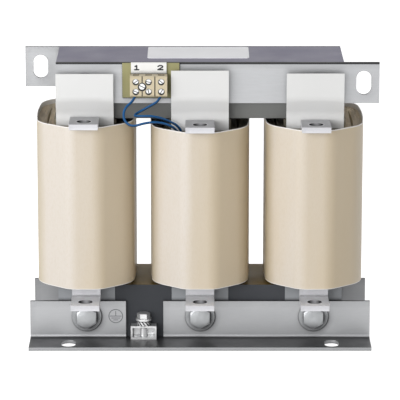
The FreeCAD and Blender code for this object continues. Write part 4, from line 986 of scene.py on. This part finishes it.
class REACTOR_OT_terminals(bpy.types.Operator):
    """Finish the terminal bars and the insulating sheets"""

    bl_idname = "reactor.terminals"
    bl_label = "Terminals"

    def execute(self, context):
        metal, plastic = context.scene.reactor_metal, context.scene.reactor_plastic
        finishes = {
            # Painted shade on the tops of the upper bars, painted light on the tops of the lower bars in the
            # coils' shade
            "_upper_terminal": self.bar("upper_bar", metal, "left_upper_terminal", top_share=0.52),
            "_lower_terminal": self.bar("lower_bar", metal, "left_lower_terminal", top_share=0.85,
                                        top=PAINTED_TOP_LIGHT),
            "_upper_shield": sheet_plastic("white_sheet", plastic.shield_colour),
            # The lower sheets take a shaded copy of the white sheet, as painted shade
            "_lower_shield": sheet_plastic("grey_sheet", plastic.shaded_shield_colour, roughness=0.5,
                                           ledge_shade=0.95),
        }
        for ending, material in finishes.items():
            dress(material, *(phase + ending for phase in PHASES))
        return {"FINISHED"}

    def bar(self, name, metal, node, top_share, top=PAINTED_TOP_SHADE):
        """Bright flat bar with painted shade inside its round hole, a painted highlight round the hole's
        edge, painted shade in corners and a painted tone on faces that lie flat.
        """
        base, radius = metal.bar_colour, metal.hole_radius
        made = Finish(name, base, 0.45, metallic=0.25)
        made.soft_edges(0.0004)
        clouds = made.grain(60, detail=4)
        made.stain(clouds, 0.4, 0.75, 0.12, darker(base, 0.85))
        made.tops(top_share, top)
        made.crevices(0.004, 0.8, lean=SHADE_LEAN)
        hole = (0.0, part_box(node)[0].y + metal.hole_setback)
        offset, out = made.around((0, 1), hole, (PHASES["right"], FAR))
        # Painted highlight round the hole
        painted_highlight = made.number("MULTIPLY", made.span(out, radius, radius + 0.0001),
                           made.span(out, radius + 0.0005, radius + 0.0011, 0.5, 0.0))
        made.blend(painted_highlight, lighter(base, 0.6))
        # Painted shade inside the hole
        inside = made.span(out, radius + 0.00005, radius + 0.0001, 1.0, 0.0)
        sides = made.span(made.number("ABSOLUTE", offset), radius * 0.15, radius * 0.75, 0.45, 1.0)
        made.blend(made.number("MULTIPLY", inside, sides), darker(base, 0.03))
        made.rough(clouds, 0.42, 0.5)
        made.bump(made.grain(1500, stretch=(1, 0.08, 1), detail=2), 0.00002, 0.4)
        return made.material


class REACTOR_OT_block(bpy.types.Operator):
    """Finish the terminal block and print its digits"""

    bl_idname = "reactor.block"
    bl_label = "Terminal block"

    # Strokes in shares of a digit's width and height, from its middle
    ONE = (((-0.32, 0.28), (0.0, 0.5)), ((0.0, 0.5), (0.0, -0.5)), ((-0.4, -0.5), (0.4, -0.5)))
    TWO_START, TWO_FOOT = (-0.48, 0.26), ((0.1, -0.12), (-0.48, -0.5), (0.5, -0.5))
    # Places of the digits, which lie a little above the middle of the strip
    ONE_ACROSS, TWO_ACROSS, DIGIT_RISE = -0.0548, -0.0343, 0.0004
    # How far the first stroke stands out, how much further each next one, and the steps of an end
    PRINT_PROUD, STROKE_STEP, END_STEPS = 0.00003, 0.000002, 4

    def execute(self, context):
        plastic, metal = context.scene.reactor_plastic, context.scene.reactor_metal
        dress(moulded("beige_moulding", plastic.block_colour), "terminal_block")
        dress(sheet_plastic("olive_sheet", plastic.backing_colour, roughness=0.5), "block_backing")
        dress(moulded("marker_white", plastic.marker_colour, roughness=0.3, depth=0.00001), "marker_strip")
        dress(turned_metal("wire_clamp_metal", metal.bolt_colour), "wire_clamps")
        poles = self.screws("clamp_screws", plastic.pole_pitch, plastic.screw_head, rise=0.32, bright=0.95)
        dress(poles, "clamp_screws")
        fixing = self.screws("block_screw", FAR, plastic.fixing_head, rise=0.1, bright=0.78)
        dress(fixing, "block_screw")
        dress(moulded("switch_black", SWITCH_BLACK), "thermal_switch")
        ink = Finish("marker_ink", INK, 0.6)
        ink.stain(ink.grain(800), 0.4, 0.7, 0.4, WORN_INK)
        low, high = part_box("marker_strip")
        up = (low.z + high.z) / 2 + self.DIGIT_RISE
        for text, across, strokes in (("1", self.ONE_ACROSS, self.ONE), ("2", self.TWO_ACROSS, self.two())):
            self.digit(text, (across, low.y, up), strokes, plastic, ink.material)
        return {"FINISHED"}

    def screws(self, node, pitch, radius, rise, bright):
        """Screws, bright to a share of their radius, with a painted dark edge beyond: painted reflection of
        the block's dark front on the pole screws, painted shadow of the well round the fixing screw, and
        painted shade in crevices.
        """
        low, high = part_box(node)
        base = lighter(bpy.context.scene.reactor_metal.bolt_colour, 0.7)
        made = Finish(node + "_steel", base, 0.35, metallic=0.6)
        between_rows = high.z - low.z - 2 * radius
        rows = between_rows if between_rows > radius else FAR
        centre = (low.x + radius, low.z + radius + radius * rise)
        out = made.around((0, 2), centre, (pitch, rows))[1]
        made.stain(made.grain(500, detail=2), 0.4, 0.7, 0.3, darker(base, 0.8))
        made.stain(out, radius * (bright - 0.1), radius * (bright + 0.1), 0.97, PAINTED_REFLECTION_AND_SHADOW)
        made.crevices(0.0015, 0.9)
        made.bump(made.grain(900, detail=2), 0.00004, 0.5)
        return made.material

    def two(self):
        """Strokes of a 2: its bow, its slant and its foot."""
        bend = [self.TWO_START]
        half_width, half_height, middle = 0.45, 0.28, 0.22
        for degrees in range(160, -41, -25):
            angle = math.radians(degrees)
            bend.append((half_width * math.cos(angle), middle + half_height * math.sin(angle)))
        bend += self.TWO_FOOT
        return list(zip(bend, bend[1:]))

    def digit(self, text, middle, strokes, plastic, material):
        """One digit printed on the marker strip, as flat strokes with round ends."""
        half = plastic.digit_stroke / 2
        across, face, up = middle
        shape = bmesh.new()
        for number, stroke in enumerate(strokes):
            depth = face - self.PRINT_PROUD - self.STROKE_STEP * number
            start, end = (Vector((x * plastic.digit_width, z * (plastic.digit_height - 2 * half)))
                          for x, z in stroke)
            heading = math.atan2(end.y - start.y, end.x - start.x)
            corners = []
            for centre, opening in ((end, -math.pi / 2), (start, math.pi / 2)):
                for step in range(self.END_STEPS + 1):
                    angle = heading + opening + math.pi * step / self.END_STEPS
                    corners.append((across + centre.x + half * math.cos(angle), depth,
                                    up + centre.y + half * math.sin(angle)))
            add_face(shape, corners)
        piece = new_piece("digit_" + text, plain_mesh("digit_" + text, shape), [material])
        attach(piece, "root")


class REACTOR_OT_earth(bpy.types.Operator):
    """Finish the earth clamp"""

    bl_idname = "reactor.earth"
    bl_label = "Earth clamp"

    def execute(self, context):
        # Painted light: the earth clamp is the bolts' plated steel, made lighter
        base = lighter(context.scene.reactor_metal.bolt_colour, 0.58)
        dress(turned_metal("earth_steel", base, roughness=0.32, reach=0.002), "earth_base", "earth_saddle",
              "earth_lock_washer", "earth_flat_washer", "earth_screw")
        return {"FINISHED"}


class REACTOR_OT_plate(bpy.types.Operator):
    """Finish the plain plate on the upper yoke"""

    bl_idname = "reactor.plate"
    bl_label = "Plate"

    def execute(self, context):
        dress(bare_plate("plain_plate", context.scene.reactor_plastic.plate_colour), "rating_plate")
        return {"FINISHED"}


class REACTOR_OT_stage(bpy.types.Operator):
    """Set the floor, the light and the camera"""

    bl_idname = "reactor.stage"
    bl_label = "Stage"

    # Place, size and share of shine of each lamp
    LAMPS = {
        "key": ((-1.4, -1.3, 0.55), 1.3, 1.0),
        "front": ((-0.9, -2.4, 0.75), 1.5, 1.0),
        "fill": ((1.9, -0.9, 0.5), 1.3, 0.2),
    }
    LAMP_AIM = Vector((0, 0, 0.12))
    # Heights of the sky between which it grows brighter
    SKY_LOW, SKY_HIGH = 0.1, 0.8

    def execute(self, context):
        stage = context.scene.reactor_stage
        self.floor(stage)
        self.world(stage)
        for name, (place, size, shine) in self.LAMPS.items():
            light = bpy.data.lights.new(name + "_lamp", "AREA")
            light.shape = "DISK"
            light.size = size
            light.energy = getattr(stage, name + "_light")
            light.specular_factor = shine
            self.aimed(name + "_lamp", light, place, self.LAMP_AIM)
        lens = bpy.data.cameras.new("camera")
        lens.lens = stage.lens
        lens.sensor_width = 36
        lens.clip_end = 100
        place = (0, -stage.camera_distance, stage.camera_height)
        context.scene.camera = self.aimed("camera", lens, place, Vector((0, 0, stage.aim_height)))
        context.scene.view_settings.view_transform = "Standard"
        return {"FINISHED"}

    def aimed(self, name, data, place, aim):
        """Lamp or camera at a place, pointing at an aim."""
        made = bpy.data.objects.new(name, data)
        made.location = place
        made.rotation_euler = (aim - made.location).to_track_quat("-Z", "Y").to_euler()
        bpy.context.scene.collection.objects.link(made)
        return made

    def floor(self, stage):
        half = stage.floor_size / 2
        corners = [(-half, -half, 0), (half, -half, 0), (half, half, 0), (-half, half, 0)]
        mesh = bpy.data.meshes.new("floor")
        mesh.from_pydata(corners, [], [(0, 1, 2, 3)])
        made = Finish("floor", stage.floor_colour, 1.0, Specular_IOR_Level=0.0)
        glow = made.node("ShaderNodeEmission", Strength=self.seen(made, stage.floor_glow))
        both = made.node("ShaderNodeAddShader", inputs=(made.shader.outputs[0], glow.outputs[0]))
        made.put(made.tree.nodes["Material Output"], Surface=both.outputs[0])
        floor = new_piece("floor", mesh, [made.material])

    def world(self, stage):
        world = bpy.data.worlds.new("studio")
        world.use_nodes = True
        made = NodeTree(world.node_tree)
        up = made.part(made.node("ShaderNodeTexCoord").outputs["Generated"], "Z")
        sky = made.span(up, self.SKY_LOW, self.SKY_HIGH, stage.sky_light, stage.sky_light * stage.sky_top)
        strength = made.number("MAXIMUM", self.seen(made, 1.0), sky)
        made.put(made.tree.nodes["Background"], Color=(1, 1, 1, 1), Strength=strength)
        bpy.context.scene.world = world

    def seen(self, made, strength):
        """Strength for the rays that show the background, nothing for the rest."""
        rays = made.node("ShaderNodeLightPath").outputs
        shown = made.number("MAXIMUM", rays["Is Camera Ray"], rays["Is Glossy Ray"])
        shown = made.number("MAXIMUM", shown, rays["Is Transmission Ray"])
        return made.number("MULTIPLY", shown, strength)


OPERATORS = (REACTOR_OT_leads, REACTOR_OT_core, REACTOR_OT_windings, REACTOR_OT_wraps,
             REACTOR_OT_brackets, REACTOR_OT_clamping, REACTOR_OT_terminals, REACTOR_OT_block,
             REACTOR_OT_earth, REACTOR_OT_plate, REACTOR_OT_stage)


class REACTOR_PT_panel(bpy.types.Panel):
    """Lists the pieces of the reactor"""

    bl_idname = "REACTOR_PT_panel"
    bl_label = "Reactor"
    bl_space_type = "VIEW_3D"
    bl_region_type = "UI"
    bl_category = "Reactor"

    def draw(self, context):
        for operator in OPERATORS:
            self.layout.operator(operator.bl_idname)


CLASSES = (*SETTINGS.values(), *OPERATORS, REACTOR_PT_panel)


def register():
    for item in CLASSES:
        bpy.utils.register_class(item)
    for name, group in SETTINGS.items():
        setattr(bpy.types.Scene, name, PointerProperty(type=group))


def unregister():
    for name in SETTINGS:
        delattr(bpy.types.Scene, name)
    for item in reversed(CLASSES):
        bpy.utils.unregister_class(item)


def main():
    register()
    bpy.ops.reactor.leads()
    bpy.ops.reactor.core()
    bpy.ops.reactor.windings()
    bpy.ops.reactor.wraps()
    bpy.ops.reactor.brackets()
    bpy.ops.reactor.clamping()
    bpy.ops.reactor.terminals()
    bpy.ops.reactor.block()
    bpy.ops.reactor.earth()
    bpy.ops.reactor.plate()
    bpy.ops.reactor.stage()


if __name__ == "__main__":
    main()
